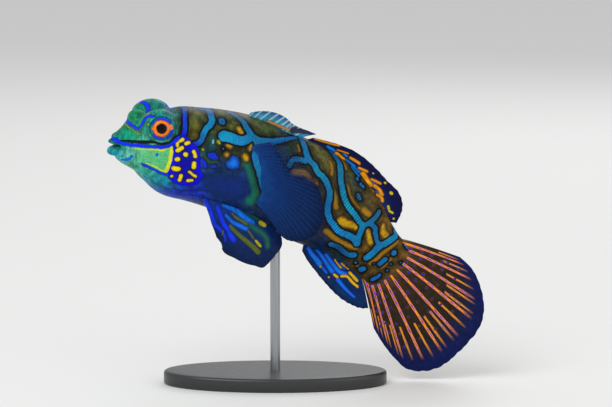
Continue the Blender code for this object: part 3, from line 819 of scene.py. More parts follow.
irisMarks = {  # in mm from the pupil's centre, towards the tail and up
    "iris": [(.3, [(-1.05, .1), (-.75, .75), (0, 1), (.7, .8), (1, .1), (.8, -.6), (.2, -.98),
                   (-.6, -.85), (-1, -.3), (-1.05, .1)]),
             (.24, [(-1, -.45), (-1.25, -.3)])],
    "salmon": [(.28, [(1, .35), (1.35, .6), (1.5, .3)])],
    "blueIris": [(.18, [(-.9, 1.2), (-.2, 1.55), (.5, 1.45), (1.1, 1.2)]),
                 (.2, [(1.85, .2), (1.65, -.6), (1.2, -1.25)]),
                 (.26, [(-.9, -1.3), (-.3, -1.55), (.4, -1.5)]), (.12, [(-1.55, .5), (-1.4, .9)])],
    "pupil": [(.7, [(-.04, 0), (.04, 0)])],
}


# glass eye: painted behind clear glass, with its shine kept low so that the paint shows
def makeEyeMaterial():
    material, tree = newMaterial("glassEye")
    where = addNode(tree, "ShaderNodeTexCoord").outputs["Object"]
    grain = addNode(tree, "ShaderNodeTexNoise", {}, {"Vector": where, "Scale": 1 / (0.5 * mm)})
    wobble = addNode(tree, "ShaderNodeMapRange", {},
                     {"Value": grain.outputs["Fac"], "To Min": -0.14, "To Max": 0.14}).outputs[0]
    base = addNode(tree, "ShaderNodeMix", {"data_type": "RGBA"},
                   {0: grain.outputs["Fac"], 6: tint("#0f6a86"), 7: tint("#1b8f98")}).outputs[2]
    colour = paintOver(tree, base, [
        ("blueIris", 0.14, 0.1, "#04103c", 0.7),
        ("blueIris", 0.0, 0.07, "#0a3ae0", 1.0),
        ("iris", 0.1, 0.07, "#0a1a60", 0.9),
        ("iris", 0.0, 0.07, "#f06a14", 1.0),
        ("iris", -0.22, 0.15, "#ff9a10", 0.7),
        ("salmon", 0.0, 0.1, "#e8844c", 0.95),
        ("pupil", 0.12, 0.07, "#2a0c04", 0.9),
        ("pupil", 0.0, 0.05, "#020203", 1.0),
    ], wobble)
    return finishMaterial(material, {"Base Color": colour, "Roughness": 0.2, "IOR": 1.45,
                                     "Specular IOR Level": 0.1, "Coat Weight": 0.12,
                                     "Coat Roughness": 0.04})


def makeEye(name, sideSign, material):
    centre, axis, back, over = eyeAxis(sideSign)
    radius, rows, columns = eyeShape["radius"], 60, 72
    down = np.linspace(0, math.pi, rows)[1:-1]
    angle = np.linspace(0, 2 * math.pi, columns, endpoint=False)
    flat = np.stack([np.outer(np.sin(down), np.cos(angle)).ravel(),
                     np.outer(np.sin(down), np.sin(angle)).ravel()], 1) * radius
    depth = np.repeat(np.cos(down), columns) * radius
    flat = np.vstack([flat, [(0, 0), (0, 0)]])
    depth = np.append(depth, [radius, -radius])
    points = centre + flat[:, :1] * back + flat[:, 1:] * over + depth[:, None] * axis
    faces = gridFaces(len(down), columns)
    last = (len(down) - 1) * columns
    faces += fanFaces(0, columns, len(points) - 2) + fanFaces(last, columns, len(points) - 1)
    eye = newPiece(name, points, faces, material)
    behind = np.where(depth < 0, fieldReach, 0)
    for field, strokes in irisMarks.items():
        setField(eye.data, field, strokeField(flat, strokes) + behind)
    return eye


eyeMaterial = makeEyeMaterial()
for name, sideSign in (("eyeballLeft", 1), ("eyeballRight", -1)):
    eye = makeEye(name, sideSign, eyeMaterial)
    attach(eye, "root")
    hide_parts("eye_left" if sideSign > 0 else "eye_right")
print("eyes: done")


# fins

fins = {
    "caudal": {
        "node": "caudal_fin", "slot": "tail_fin",
        "raysAt": (.06, .14, .24, .34, .45, .56, .66, .76, .86, .94),
        "shortRays": (.03, .10, .19, .265, .315, .395, .48, .53, .61, .71, .785, .835, .90, .98),
        "shortFrom": .56,
        "root": [(50.6, 4.7, 0), (51.0, 2.4, 0), (51.1, 0, 0), (51.0, -2.4, 0), (50.6, -4.6, 0)],
        "edge": [(58.4, 9.6, .3), (61, 9.8, .3), (63.5, 9.2, .3), (66, 8, .2), (68.2, 6.2, .1),
                 (69.5, 4, 0), (70.1, 1.4, -.1), (70.4, -1.6, -.1), (70.3, -4.6, 0), (69.2, -7.1, .1),
                 (67.2, -9, .2), (64.6, -9.4, .3), (61.5, -9.3, .4), (58.4, -8.8, .4)],
        "bulge": .4, "rootThick": 1.2, "size": (230, 110), "radii": (.1, .085), "raysFrom": .13,
        "notch": .006,
        "dots": {"seed": 11, "start": (.1, .18), "until": .8, "lanes": (.35, .5, .65),
                 "radius": (.08, .15), "gap": (.08, .17)},
    },
    "firstDorsal": {
        "node": "first_dorsal_fin", "slot": "clear_fin",
        "raysAt": (.03, .12, .21, .30, .39, .48, .57, .66, .76, .88),
        "root": [(20.4, 6.6, 0), (23.4, 6.9, 0), (26, 6.8, 0), (28.6, 6.7, 0)],
        "edge": [(21.5, 8.9, .1), (22.6, 9.6, .2), (23.8, 10.1, .3), (25.4, 10.1, .3), (27, 9.7, .3),
                 (29, 9.4, .2), (31.6, 9.3, .1)],
        "bulge": .1, "rootThick": .7, "size": (120, 40), "radii": (.09, .05), "solid": .85,
    },
    "secondDorsal": {
        "node": "second_dorsal_fin", "slot": "striped_fin",
        "raysAt": (-.7, -.45, -.25, -.1, .03, .15, .27, .39, .51, .63, .75, .87), "sweep": .5,
        "root": [(29.6, 6.7, 0), (34, 6.5, 0), (38, 5.9, 0), (41.5, 4.8, 0), (45.4, 3.8, 0)],
        "edge": [(31.4, 8.6, .2), (33.2, 9.1, .3), (35, 9.6, .5), (36.6, 9.9, .6), (38.3, 9.9, .6),
                 (40.2, 9.7, .6), (42.2, 9.4, .5), (44, 9.4, .4), (45.6, 8.7, .3), (46.9, 7.4, .2),
                 (47.6, 5.8, .2)],
        "bulge": .2, "rootThick": .8, "size": (190, 60), "radii": (.07, .04),
    },
    "anal": {
        "node": "anal_fin", "slot": "striped_fin",
        "raysAt": (-1.2, -.8, -.5, -.28, -.1, .06, .22, .38, .54, .7, .86), "sweep": .6,
        "root": [(38.2, -6.3, 0), (41, -5.5, 0), (43.8, -4.7, 0), (46.4, -4.0, 0), (48.8, -3.6, 0)],
        "edge": [(39.6, -8.4, .4), (42, -9, .8), (44.6, -9.2, 1), (47.2, -9.3, 1.2), (49.8, -9.2, 1.4),
                 (52, -8.7, 1.5), (53.8, -8, 1.6), (54.9, -7, 1.7)],
        "bulge": .2, "rootThick": .8, "size": (190, 70), "radii": (.09, .04),
    },
    "pectoral": {
        "node": "pectoral_fin", "slot": "clear_fin", "pair": (0, -1.7),
        "raysAt": tuple(np.linspace(.02, .98, 26)),
        "root": [(21.8, 4.6, 5.1), (23.8, 2.6, 5.5), (25.4, .4, 5.5), (26.4, -1.6, 5.3), (26.2, -3.4, 4.9)],
        "edge": [(25.8, 8.1, 6.1), (28.6, 6.9, 6.8), (31.3, 5.1, 7.3), (33.8, 3.1, 7.7), (36, 1, 8),
                 (37.5, -1.2, 8.2), (37.7, -3.5, 8.3), (36.3, -5.4, 8.2), (33.8, -6.6, 7.9),
                 (31, -6.4, 7.4)],
        "bulge": .5, "rootThick": .9, "size": (200, 80), "radii": (.075, .035),
        "solid": .9, "clear": (-.1, .38, .12),
    },
    "pelvic": {
        "node": "pelvic_fin", "slot": "striped_fin", "pair": (1.5, 0),
        "raysAt": (.02, .15, .28, .42, .56, .70, .84, .97),
        "root": [(15.1, -3.7, 4), (17.4, -4.5, 4), (20.2, -5.1, 3.9), (23.4, -5.4, 3.4)],
        "edge": [(20.1, -10.6, 6.6), (23.4, -12.1, 7.4), (26.3, -12.5, 7.9), (28.4, -12.5, 8.1),
                 (30.3, -12.3, 8.1), (32, -11.3, 7.8), (33.2, -9.7, 7.2), (33.5, -8, 6.2),
                 (32, -6.5, 5)],
        "bulge": .4, "rootThick": 1.1, "size": (190, 90), "radii": (.14, .05),
    },
}
sheetShape = {
    "steps": 400,  # along the root and the rim
    "edgeThick": 0.14,  # mm
    "rimThin": 0.35, "notchThin": 0.25,  # what the rim keeps, and what goes between the rays
    "clearFrom": 0.45, "clearEase": (0.06, 0.12, 0.15),  # where a clear part starts, and its soft sides
}
rayShape = {"steps": 26, "end": .97, "shortEnd": .95, "sides": 8, "unevenness": 0.2, "seed": 7}


def sweptShare(shape, root, out):
    # a ray that leaves the root at this share lies over towards the tail on its way out
    sweep = shape.get("sweep", 0) * out
    return root * (1 - sweep) + sweep


def rootShare(shape, share, out):
    sweep = shape.get("sweep", 0) * out
    return (share - sweep) / (1 - sweep)


def fanPoint(shape, share, out, sideSign):
    # s, h and w of places on a fin's middle sheet; share runs round it, out from root to rim
    edge = np.array(shape["edge"], float)
    if sideSign < 0 and "pair" in shape:
        edge[:, :2] += shape["pair"]
    fine = sheetShape["steps"]
    root, rim = evenPath(shape["root"], fine), evenPath(edge, fine)
    at = np.linspace(0, 1, fine)
    start = np.stack([np.interp(share, at, root[:, k]) for k in range(3)], 1)
    tip = np.stack([np.interp(share, at, rim[:, k]) for k in range(3)], 1)
    spot = start * (1 - out)[:, None] + tip * out[:, None]
    spot[:, 2] += shape["bulge"] * np.sin(math.pi * out) * np.sin(math.pi * share)
    if "pair" in shape:
        spot[:, 2] *= sideSign
    return spot


def finSheet(name, shape, sideSign, material):
    around, across = shape["size"]
    share, out = np.meshgrid(np.linspace(0, 1, around), np.linspace(0, 1, across), indexing="ij")
    share, out = share.ravel(), out.ravel()
    rays = np.array(sorted(shape["raysAt"] + shape.get("shortRays", ())))
    rooted = rootShare(shape, share, out)
    nearest = np.abs(rooted[:, None] - rays).min(1)
    spacing = 1 / len(rays)
    notch = np.clip(nearest / (0.5 * spacing), 0, 1)**2  # the rim draws in between the rays
    spot = fanPoint(shape, share, out * (1 - shape.get("notch", 0.012) * notch * out**3), sideSign)
    middle = place(*spot.T).reshape(around, across, 3)
    normal = np.cross(np.gradient(middle, axis=0), np.gradient(middle, axis=1))
    normal /= np.linalg.norm(normal, axis=2)[:, :, None]
    edgeThick, rimThin = sheetShape["edgeThick"], sheetShape["rimThin"]
    thick = (shape["rootThick"] - edgeThick) * (1 - out)**2 + edgeThick
    rimFade = np.clip(np.minimum(np.minimum(share, 1 - share) * around / 3, (1 - out) * across / 3), 0, 1)
    thick = thick * (rimThin + (1 - rimThin) * rimFade**0.5)
    thick = thick * (1 - sheetShape["notchThin"] * notch * (1 - (1 - out)**4))
    lift = normal * (thick / 2).reshape(around, across, 1)
    points = np.concatenate([(middle + lift).reshape(-1, 3), (middle - lift).reshape(-1, 3)])
    grid = np.arange(around * across).reshape(around, across)
    faces = gridFaces(around, across, 0, False) + gridFaces(around, across, grid.size, False)
    rim = np.concatenate([grid[:, 0], grid[-1, 1:], grid[-2::-1, -1], grid[0, -2:0:-1]])
    for a, b in zip(rim, np.roll(rim, -1)):
        faces.append((a, b, b + grid.size, a + grid.size))
    faces = [tuple(int(k) for k in face) for face in faces]
    sheet = newPiece(name, points, faces, material)
    span = np.linalg.norm(np.gradient(middle, axis=0), axis=2).ravel() * (around - 1)
    span *= (1 - shape.get("sweep", 0) * out) * math.cos(0.9 * shape.get("sweep", 0))
    main = np.array(shape["raysAt"])
    rayGap = np.abs(rooted[:, None] - main).min(1) * span
    if "shortRays" in shape:
        short = np.abs(rooted[:, None] - np.array(shape["shortRays"])).min(1) * span
        setField(sheet.data, "shortGap", np.tile(np.where(out > shape["shortFrom"], short, 9), 2))
    setField(sheet.data, "rayGap", np.tile(rayGap, 2))
    setField(sheet.data, "out", np.tile(out, 2))
    low, high, clear = shape.get("clear", (0, 0, 1.0))
    before, behind, below = sheetShape["clearEase"]
    window = np.clip((share - low) / before, 0, 1) * np.clip((high - share) / behind, 0, 1)
    window *= np.clip((out - sheetShape["clearFrom"]) / below, 0, 1)
    setField(sheet.data, "body", np.tile(shape.get("solid", 1) * (1 - window) + clear * window, 2))
    flat = np.tile(spot[:, :2], (2, 1))
    marks = dict(finMarks.get(name.rstrip("LR"), {}))
    if "dots" in shape:
        marks["dots"] = rayDots(shape)
    for field, strokes in marks.items():
        setField(sheet.data, field, strokeField(flat, strokes))
    return sheet


def rayDots(shape):
    # small spots between the main rays, in places that a fixed seed picks
    dice, strokes = random.Random(shape["dots"]["seed"]), []
    for a, b in zip(shape["raysAt"], shape["raysAt"][1:]):
        out = dice.uniform(*shape["dots"]["start"])
        while out < shape["dots"]["until"]:
            share = a + (b - a) * dice.choice(shape["dots"]["lanes"])
            spot = fanPoint(shape, np.array([share]), np.array([out]), 1)[0]
            strokes.append((dice.uniform(*shape["dots"]["radius"]), [(spot[0], spot[1])]))
            out += dice.uniform(*shape["dots"]["gap"])
    return strokes


finMarks = {  # half width, then s and h of each path
    "pelvicFin": {
        "cobalt": [(.34, [(15.9, -4.8), (16.9, -5.9), (18, -7), (19, -8.4)]),
                   ((.3, .42), [(19.2, -6.3), (20, -7.3), (20.8, -8.2), (23.4, -9.2), (25.2, -9.9)]),
                   (.25, [(19.4, -8.8), (21.6, -9.8), (23.4, -10.6)])],
        "azure": [((.3, .4), [(20.2, -5.8), (22.2, -6.1), (24, -6.2), (25.4, -6.5), (26.8, -6.8)]),
                  ((.15, .3), [(21, -7.1), (22.9, -7.7), (24.9, -7.8), (26.4, -7.8)])],
        "olive": [((.12, .2), [(22.4, -6.7), (24, -7), (25.4, -7.1), (26.2, -7.2)]),
                  ((.2, .36), [(22.9, -8.3), (25, -8.8), (26.9, -9.4), (28, -9.9), (28.7, -10.3)]),
                  (.12, [(26.8, -8), (27.6, -8.7)]), (.14, [(21.2, -9.4), (21.4, -9.9)])],
        "moss": [((.3, .4), [(26.6, -7.2), (27.7, -7.4), (29, -7.8), (29.7, -8.4), (30, -9)]),
                 (.4, [(24.8, -5.6), (26, -5.7), (27.4, -5.9)])],
        "spots": [(.16, [(28, -8.9), (28.8, -9.4)]), (.28, [(27.2, -5.4), (27.8, -5.4)]),
                  (.28, [(28, -6.4), (28.6, -6.5)]), (.18, [(31.2, -6.6)])],
    },
    "analFin": {
        "azure": [((.35, .5), [(40.2, -7.4), (41.5, -7.7), (43, -7.8), (44.3, -7.9)]),
                  (.22, [(44.3, -7.9), (46.2, -8)]),
                  ((.22, .4), [(41.6, -6.7), (42.9, -6.8), (44.1, -6.9), (45.2, -7.05), (46.6, -7.2)]),
                  ((.3, .42), [(43.8, -6.2), (45.1, -6.3), (46.4, -6.4), (47.4, -6.4), (48.4, -6)]),
                  (.14, [(46.4, -5.6), (47.6, -5.5)]),
                  ((.35, .2), [(48.2, -7.4), (50, -7.5), (51.6, -7.4)])],
        "gold": [(.12, [(45.6, -5.7), (46.3, -5.8), (47.1, -5.8)]), (.1, [(46.7, -5.3), (48.1, -5.1)]),
                 (.22, [(48.7, -5.3), (50.2, -5.3)]),
                 (.2, [(48.2, -6.6), (48.8, -6), (49.8, -6), (50.8, -5.9)]),
                 (.22, [(47.2, -7.3), (47.8, -7.2)]), (.16, [(44.8, -8.1)]), (.14, [(46.9, -8.2)])],
    },
    "secondDorsalFin": {
        "azure": [(.14, [(36.2, 8), (37.6, 7.9)]), (.32, [(37.4, 7.5), (38.8, 7.5)]),
                  (.3, [(38.8, 6.6), (39.4, 6.9)]), (.3, [(39.8, 6.1), (40.6, 6.3)]),
                  (.2, [(40.9, 7.6), (41.4, 7.6)]), (.18, [(42.2, 6.9), (42.6, 6.9)]),
                  (.12, [(35.6, 8.6), (36.1, 8.5)]), (.25, [(41.2, 5.7), (42, 5.2)]),
                  (.18, [(33.4, 8.3), (34.6, 8.2)]), (.15, [(42.9, 6.1), (43.3, 6.1)])],
        "gold": [(.14, [(31.6, 8.5), (33.4, 8.9), (34.5, 9.3)]), (.09, [(34.6, 8.6), (36, 9)]),
                 (.3, [(34.8, 8), (35.9, 7.8)]), (.2, [(36, 7.4), (37, 7.4)]),
                 (.28, [(36.5, 6.9), (37, 6.8)]),
                 (.22, [(36.6, 8.6), (37.4, 8.7), (37.9, 8.7)]), (.2, [(38.3, 8.1), (39.3, 8.4)]),
                 (.38, [(39.2, 7.7), (39.9, 7.4), (40.8, 7.1)]), (.2, [(40.5, 7.9), (41.7, 8.3)]),
                 (.3, [(40.6, 6.4), (41.7, 6.4)]), (.28, [(41.4, 7.4), (42.2, 7.5), (42.8, 7.2)]),
                 (.24, [(42.5, 6.6), (43.1, 6.8), (43.5, 6.5)]),
                 (.11, [(41.7, 5.6), (42.8, 5.5), (44.6, 5.4)]),
                 (.11, [(42.2, 6), (43.3, 5.8), (44.4, 5.8)]), (.12, [(44.8, 5.2), (45.8, 5.2)])],
        "spots": [(.13, [(40.1, 8.8)]), (.18, [(42.1, 8.9)]), (.24, [(43.5, 8.4)]),
                  (.18, [(44.6, 6.6), (44.9, 6.4)]), (.16, [(45.2, 6.2), (45.8, 6.4)]), (.16, [(46.7, 5.9)])],
    },
    "firstDorsalFin": {
        "gold": [(.13, [(23.6, 8.4), (26, 8.45), (28, 8.5), (29.6, 8.8)])],
        "navyTip": [((.5, .15), [(28, 8.6), (29.6, 8.9), (31.4, 9.2)])],
    },
}

finLooks = {
    "caudal": {"ground": ("#6a501c", "#33281a", "#241e16", "#0c1848", "#04124c"),
               "groundAt": (0, .22, .7, .88, 1), "clear": False, "coatsEnd": .86,
               "coats": [("rayGap", .3, .07, "#120c40", .8), ("shortGap", .26, .07, "#120c40", .8),
                         ("rayGap", .21, .05, "#f08a08", 1.0), ("shortGap", .17, .05, "#dc8c10", 1.0),
                         ("rayGap", .045, .035, "#2a10e0", 1.0), ("shortGap", .03, .03, "#2a1ac0", .9),
                         ("dots", .14, .06, "#a06810", .6), ("dots", .09, .05, "#060414", 1.0),
                         ("dots", .0, .04, "#2424ec", 1.0)]},
    "firstDorsal": {"ground": ("#0a5a86", "#1484ac", "#2a98bc", "#1470a0", "#0c4c80"),
                    "groundAt": (0, .3, .6, .85, 1), "clear": True, "coatsEnd": 1.1,
                    "coats": [("rayGap", .14, .1, "#b8dce4", .8), ("gold", .1, .08, "#04081c", .8),
                              ("gold", .0, .08, "#e89410", .95), ("navyTip", .05, .12, "#03103c", .95)]},
    "secondDorsal": {"ground": ("#0a5c9c", "#08448c", "#08205c", "#060c44", "#04083c"),
                     "groundAt": (0, .25, .5, .7, 1), "clear": False, "coatsEnd": 1.1,
                     "coats": [("azure", .1, .1, "#0a1c44", .7), ("azure", .0, .1, "#0a7ade", .95),
                               ("gold", .14, .1, "#0a0804", .85), ("gold", .0, .09, "#c87c0c", .95),
                               ("gold", -.12, .1, "#f4a41c", .8), ("spots", .1, .08, "#04041c", .8),
                               ("spots", .0, .08, "#d8c010", .95)]},
    "anal": {"ground": ("#06305c", "#04285c", "#04245c", "#042c5c", "#021440"),
             "groundAt": (0, .3, .6, .85, 1), "clear": False, "coatsEnd": 1.1,
             "coats": [("azure", .12, .12, "#021034", .8), ("azure", .0, .16, "#0a50d0", .95),
                       ("azure", -.16, .14, "#0a80f4", .8), ("gold", .1, .08, "#04040c", .8),
                       ("gold", .0, .08, "#d0a008", .95), ("gold", -.08, .08, "#f0c410", .7)]},
    "pectoral": {"ground": ("#0a4488", "#052c6c", "#042254", "#031c48", "#02143c"),
                 "groundAt": (0, .22, .5, .8, 1), "clear": True, "coatsEnd": .95,
                 "coats": [("rayGap", .12, .12, "#0a4488", .35)]},
    "pelvic": {"ground": ("#0a3488", "#062c70", "#04245c", "#042050", "#03183c"),
               "groundAt": (0, .3, .6, .8, 1), "clear": False, "coatsEnd": 1.1,
               "coats": [("cobalt", .2, .25, "#04145c", .8), ("cobalt", .0, .2, "#0a34e0", .9),
                         ("azure", .15, .15, "#03185c", .8), ("azure", .0, .18, "#0a68dc", .95),
                         ("moss", .1, .3, "#0a4c44", .8), ("moss", -.2, .25, "#2c6840", .6),
                         ("olive", .15, .2, "#04141c", .7), ("olive", .0, .16, "#56661c", .9),
                         ("spots", .1, .1, "#04101c", .8), ("spots", .0, .1, "#b0a81c", .95)]},
}


finPaint = {"grain": 0.8, "wobble": 0.14, "softRays": 0.3}  # grain, painted edges, and rays apart, in mm


# cast resin fins, tinted through and painted: thin and satin, and some are clear in part
def makeFinMaterial(name, look):
    material, tree = newMaterial(name)
    where = addNode(tree, "ShaderNodeTexCoord").outputs["Object"]
    grain = addNode(tree, "ShaderNodeTexNoise", {},
                    {"Vector": where, "Scale": 1 / (finPaint["grain"] * mm), "Detail": 3.0}).outputs["Fac"]
    wobble = addNode(tree, "ShaderNodeMapRange", {},
                     {"Value": grain, "To Min": -finPaint["wobble"],
                      "To Max": finPaint["wobble"]}).outputs[0]
    rayGap, out = (
        addNode(tree, "ShaderNodeAttribute", {"attribute_name": field}).outputs["Fac"]
        for field in ("rayGap", "out"))
    ramp = addNode(tree, "ShaderNodeValToRGB", {}, {"Fac": out})
    while len(ramp.color_ramp.elements) < len(look["ground"]):
        ramp.color_ramp.elements.new(0.5)
    for stop, at, code in zip(ramp.color_ramp.elements, look["groundAt"], look["ground"]):
        stop.position, stop.color = at, tint(code)
    # fine soft rays show through between the main ones
    turns = addNode(tree, "ShaderNodeMath", {"operation": "MULTIPLY"},
                    {0: rayGap, 1: 2 * math.pi / finPaint["softRays"]})
    wave = addNode(tree, "ShaderNodeMath", {"operation": "COSINE"}, {0: turns.outputs[0]})
    ground = shaded(tree, ramp.outputs["Color"], wave.outputs[0], (-1.0, 1.0), (0.78, 1.22))
    painted = paintOver(tree, ground, look["coats"], wobble)
    fade = addNode(tree, "ShaderNodeMapRange", {},
                   {"Value": out, "From Min": look["coatsEnd"] - .1, "From Max": look["coatsEnd"] + .04,
                    "To Min": 0, "To Max": 1}).outputs[0]
    colour = addNode(tree, "ShaderNodeMix", {"data_type": "RGBA"},
                     {0: fade, 6: painted, 7: ground}).outputs[2]
    colour = shaded(tree, colour, grain, (0.3, 0.7), (0.75, 1.25))
    alpha = 1.0
    if look["clear"]:
        alpha = addNode(tree, "ShaderNodeAttribute", {"attribute_name": "body"}).outputs["Fac"]
    return finishMaterial(material, {"Base Color": colour, "Roughness": 0.42, "IOR": 1.5,
                                     "Specular IOR Level": 0.1, "Alpha": alpha})


# geometry nodes: each fin ray is a thin tapering tube along its path
def makeRayTree(material):
    tree = bpy.data.node_groups.new("finRays", "GeometryNodeTree")
    tree.is_modifier = True
    tree.interface.new_socket("Ray paths", in_out="INPUT", socket_type="NodeSocketGeometry")
    for name, kind in (("Base radius", "Float"), ("Tip radius", "Float"), ("Sides", "Int"),
                       ("Unevenness", "Float"), ("Seed", "Int")):
        tree.interface.new_socket(name, in_out="INPUT", socket_type="NodeSocket" + kind)
    tree.interface.new_socket("Rays", in_out="OUTPUT", socket_type="NodeSocketGeometry")
    given = addNode(tree, "NodeGroupInput").outputs
    paths = addNode(tree, "GeometryNodeMeshToCurve", {}, {"Mesh": given["Ray paths"]})
    along = addNode(tree, "GeometryNodeSplineParameter").outputs["Factor"]
    taper = addNode(tree, "ShaderNodeMapRange", {},
                    {"Value": along, "To Min": given["Base radius"],
                     "To Max": given["Tip radius"]}).outputs[0]
    low = addNode(tree, "ShaderNodeMath", {"operation": "SUBTRACT"}, {0: 1.0, 1: given["Unevenness"]})
    uneven = addNode(tree, "FunctionNodeRandomValue", {"data_type": "FLOAT"},
                     {2: low.outputs[0], 3: 1.0, "Seed": given["Seed"]}).outputs[1]
    radius = addNode(tree, "ShaderNodeMath", {"operation": "MULTIPLY"}, {0: taper, 1: uneven})
    sized = addNode(tree, "GeometryNodeSetCurveRadius", {},
                    {"Curve": paths.outputs[0], "Radius": radius.outputs[0]})
    profile = addNode(tree, "GeometryNodeCurvePrimitiveCircle", {},
                      {"Resolution": given["Sides"], "Radius": 1.0})
    tube = addNode(tree, "GeometryNodeCurveToMesh", {},
                   {"Curve": sized.outputs[0], "Profile Curve": profile.outputs[0], "Fill Caps": True})
    if "Scale" in tube.inputs:
        tree.links.new(radius.outputs[0], tube.inputs["Scale"])
    real = addNode(tree, "GeometryNodeRealizeInstances", {}, {"Geometry": tube.outputs[0]})
    painted = addNode(tree, "GeometryNodeSetMaterial", {},
                      {"Geometry": real.outputs[0], "Material": material})
    addNode(tree, "NodeGroupOutput", {}, {"Rays": painted.outputs[0]})
    return tree


def finRays(name, shape, sideSign, material):
    points, edges, outs = [], [], []
    rays = [(r, shape.get("raysFrom", .02), rayShape["end"]) for r in shape["raysAt"]]
    rays += [(r, shape["shortFrom"], rayShape["shortEnd"]) for r in shape.get("shortRays", ())]
    steps = rayShape["steps"]
    for ray, start, end in rays:
        if ray < 0:  # a ray that starts part of the way up the front edge
            start = max(start, -ray / (shape["sweep"] * (1 - ray)) + .01)
        if start > .9:
            continue
        out = np.linspace(start, end, steps)
        spot = fanPoint(shape, sweptShare(shape, ray, out), out, sideSign)
        first = len(points)
        points += list(place(*spot.T) * mm)
        edges += [(first + k, first + k + 1) for k in range(steps - 1)]
        outs += list(out)
    mesh = bpy.data.meshes.new(name + "Paths")
    mesh.from_pydata([tuple(p) for p in points], edges, [])
    setField(mesh, "out", outs)
    paths = addObject(name + "Paths", mesh)
    modifier = paths.modifiers.new("rays", "NODES")
    modifier.node_group = makeRayTree(material)
    sockets = {item.name: item.identifier for item in modifier.node_group.interface.items_tree}
    base, tip = shape["radii"]
    for label, value in (("Base radius", base * mm), ("Tip radius", tip * mm),
                         ("Sides", rayShape["sides"]), ("Unevenness", rayShape["unevenness"]),
                         ("Seed", rayShape["seed"])):
        modifier[sockets[label]] = value
    mesh = plainMesh(paths)
    mesh.shade_smooth()
    return addObject(name, mesh)


rayPaints = {
    "caudal": ("#6a2ac0", "#4818e0", "#3010d8", "#0c1450"),
    "firstDorsal": ("#c0e0e8",) * 3 + ("#3a88b0",),
    "secondDorsal": ("#0a3c7c", "#0a2c6c", "#081c54", "#04083c"),
    "anal": ("#0a4aa0", "#083c8c", "#052c6c", "#031850"),
    "pectoral": ("#083c80", "#063070", "#042258", "#031844"),
    "pelvic": ("#0a34c8", "#0830a0", "#042468", "#03183c"),
}


# the same cast resin, its rays picked out with a brush
def makeRayMaterial(name, paints):
    material, tree = newMaterial(name)
    where = addNode(tree, "ShaderNodeTexCoord").outputs["Object"]
    grain = addNode(tree, "ShaderNodeTexNoise", {}, {"Vector": where, "Scale": 1 / (0.6 * mm)})
    out = addNode(tree, "ShaderNodeAttribute", {"attribute_name": "out"}).outputs["Fac"]
    ramp = addNode(tree, "ShaderNodeValToRGB", {}, {"Fac": out})
    while len(ramp.color_ramp.elements) < len(paints):
        ramp.color_ramp.elements.new(0.5)
    for stop, at, code in zip(ramp.color_ramp.elements, (0, .45, .8, 1), paints):
        stop.position, stop.color = at, tint(code)
    colour = shaded(tree, ramp.outputs["Color"], grain.outputs["Fac"], (0, 1), (0.6, 1.4))
    return finishMaterial(material, {"Base Color": colour, "Roughness": 0.4, "IOR": 1.5,
                                     "Specular IOR Level": 0.12})


for kind, shape in fins.items():
    sheetMaterial = makeFinMaterial("castResin" + kind[0].upper() + kind[1:] + "Fin", finLooks[kind])
    rayMaterial = makeRayMaterial("brushedResin" + kind[0].upper() + kind[1:] + "Rays", rayPaints[kind])
    sides = ((1, "L", "_left"), (-1, "R", "_right")) if "pair" in shape else ((1, "", ""),)
    for sideSign, mark, ending in sides:
        sheet = finSheet(kind + "Fin" + mark, shape, sideSign, sheetMaterial)
        rays = finRays(kind + "Rays" + mark, shape, sideSign, rayMaterial)
        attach(sheet, "root")
        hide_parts(shape["node"] + ending)
        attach(rays, "root")
    print("fin:", kind)


# stand

standShape = {"length": 36, "width": 16, "height": 2.2, "bevel": 0.5, "rings": 6, "around": 128,
              "foot": 0.25, "topRings": (2.0, 5.0)}


# satin lacquer on turned wood: near black, a soft sheen along the rounded rim
def makeBaseMaterial():
    material, tree = newMaterial("satinLacquerBase")
    where = addNode(tree, "ShaderNodeTexCoord").outputs["Object"]
    grain = addNode(tree, "ShaderNodeTexNoise", {},
                    {"Vector": where, "Scale": 1 / (0.4 * mm), "Detail": 4.0}).outputs["Fac"]
    colour = addNode(tree, "ShaderNodeMix", {"data_type": "RGBA"},
                     {0: grain, 6: tint("#1b1c1e"), 7: tint("#26282a")}).outputs[2]
    rough = addNode(tree, "ShaderNodeMapRange", {},
                    {"Value": grain, "To Min": 0.32, "To Max": 0.5}).outputs[0]
    bump = addNode(tree, "ShaderNodeBump", {},
                   {"Strength": 0.12, "Distance": 0.02 * mm, "Height": grain}).outputs[0]
    return finishMaterial(material, {"Base Color": colour, "Roughness": rough, "IOR": 1.5,
                                     "Coat Weight": 0.3, "Coat Roughness": 0.25, "Normal": bump})


# drawn steel rod: fine lengthwise streaks, a bright line down one side
def makeRodMaterial():
    material, tree = newMaterial("drawnSteelRod")
    where = addNode(tree, "ShaderNodeTexCoord").outputs["Object"]
    streak = addNode(tree, "ShaderNodeMapping", {}, {"Vector": where, "Scale": (1, 1, 0.02)})
    grain = addNode(tree, "ShaderNodeTexNoise", {},
                    {"Vector": streak.outputs[0], "Scale": 1 / (0.12 * mm)}).outputs["Fac"]
    rough = addNode(tree, "ShaderNodeMapRange", {},
                    {"Value": grain, "To Min": 0.22, "To Max": 0.42}).outputs[0]
    colour = addNode(tree, "ShaderNodeMix", {"data_type": "RGBA"},
                     {0: grain, 6: tint("#8c8f92"), 7: tint("#b4b7ba")}).outputs[2]
    return finishMaterial(material, {"Base Color": colour, "Metallic": 1.0, "Roughness": rough})


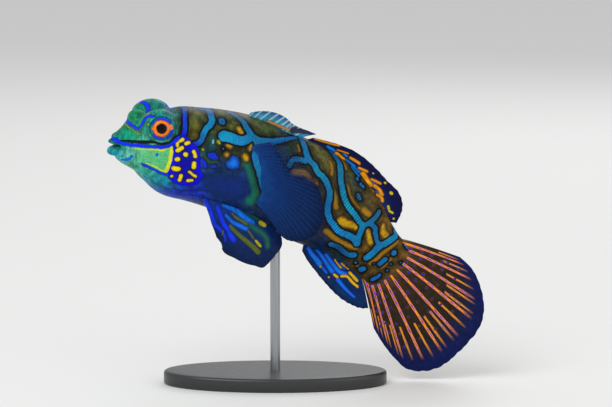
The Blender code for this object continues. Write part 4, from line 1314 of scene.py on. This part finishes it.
def makeBase():
    b = standShape
    angle = np.linspace(0, 2 * math.pi, b["around"], endpoint=False)
    turnBy = np.linspace(0, math.pi / 2, b["rings"])
    profile = [(b["foot"], 0.0), (0.0, b["foot"])]
    profile += [(b["bevel"] * (1 - math.cos(t)), b["height"] - b["bevel"] * (1 - math.sin(t)))
                for t in turnBy]
    profile += [(inset, b["height"]) for inset in b["topRings"]]
    points = []
    for inset, z in profile:
        points += [((b["length"] / 2 - inset) * math.cos(a), (b["width"] / 2 - inset) * math.sin(a), z)
                   for a in angle]
    faces = gridFaces(len(profile), len(angle))
    last = (len(profile) - 1) * len(angle)
    points += [(0, 0, 0), (0, 0, b["height"])]
    faces += fanFaces(0, len(angle), len(points) - 2) + fanFaces(last, len(angle), len(points) - 1)
    return newPiece("oval_base", points, faces, makeBaseMaterial())


base = makeBase()
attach(base, "root")
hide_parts("stand_base")

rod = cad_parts["stand_rod"]
rod.data.materials.clear()
rod.data.materials.append(makeRodMaterial())
print("stand: done")


# studio

studio = {
    "target": (4.96, 0, 29.27), "distance": 420, "elevation": 8, "lens": 154.4,
    "key": (1.3, 0.34, (-230, -330, 420)), "fill": (0.4, 0.4, (360, -300, 160)),
    "back": (0.45, 0.3, (120, 380, 330)), "air": 0.72, "sensor": 36, "clip": (0.01, 20),
}


def makeStudio():
    scene = bpy.context.scene
    tilt = math.radians(studio["elevation"])
    ahead = Vector((0, math.cos(tilt), -math.sin(tilt)))
    camera = addObject("camera", bpy.data.cameras.new("camera"))
    camera.data.lens, camera.data.sensor_width = studio["lens"], studio["sensor"]
    camera.data.clip_start, camera.data.clip_end = studio["clip"]
    camera.location = Vector(studio["target"]) * mm - ahead * studio["distance"] * mm
    camera.rotation_euler = ahead.to_track_quat("-Z", "Y").to_euler()
    scene.camera = camera
    for name in ("key", "fill", "back"):
        power, size, at = studio[name]
        light = addObject(name, bpy.data.lights.new(name, "AREA"))
        light.data.energy, light.data.size = power, size
        light.location = Vector(at) * mm
        light.rotation_euler = (Vector(studio["target"]) - Vector(at)).to_track_quat("-Z", "Y").to_euler()
    world = bpy.data.worlds.new("air")
    world.use_nodes = True
    world.node_tree.nodes["Background"].inputs[0].default_value = tint("#f2f3f4")
    world.node_tree.nodes["Background"].inputs[1].default_value = studio["air"]
    scene.world = world
    scene.view_settings.view_transform = "Standard"
    material = finishMaterial(newMaterial("palePaperFloor")[0],
                              {"Base Color": tint("#ececea"), "Roughness": 0.8})
    half = 4000
    floor = newPiece("floor", [(-half, -half, 0), (half, -half, 0), (half, half, 0), (-half, half, 0)],
                     [(0, 1, 2, 3)], material)


makeStudio()
print("studio: done")
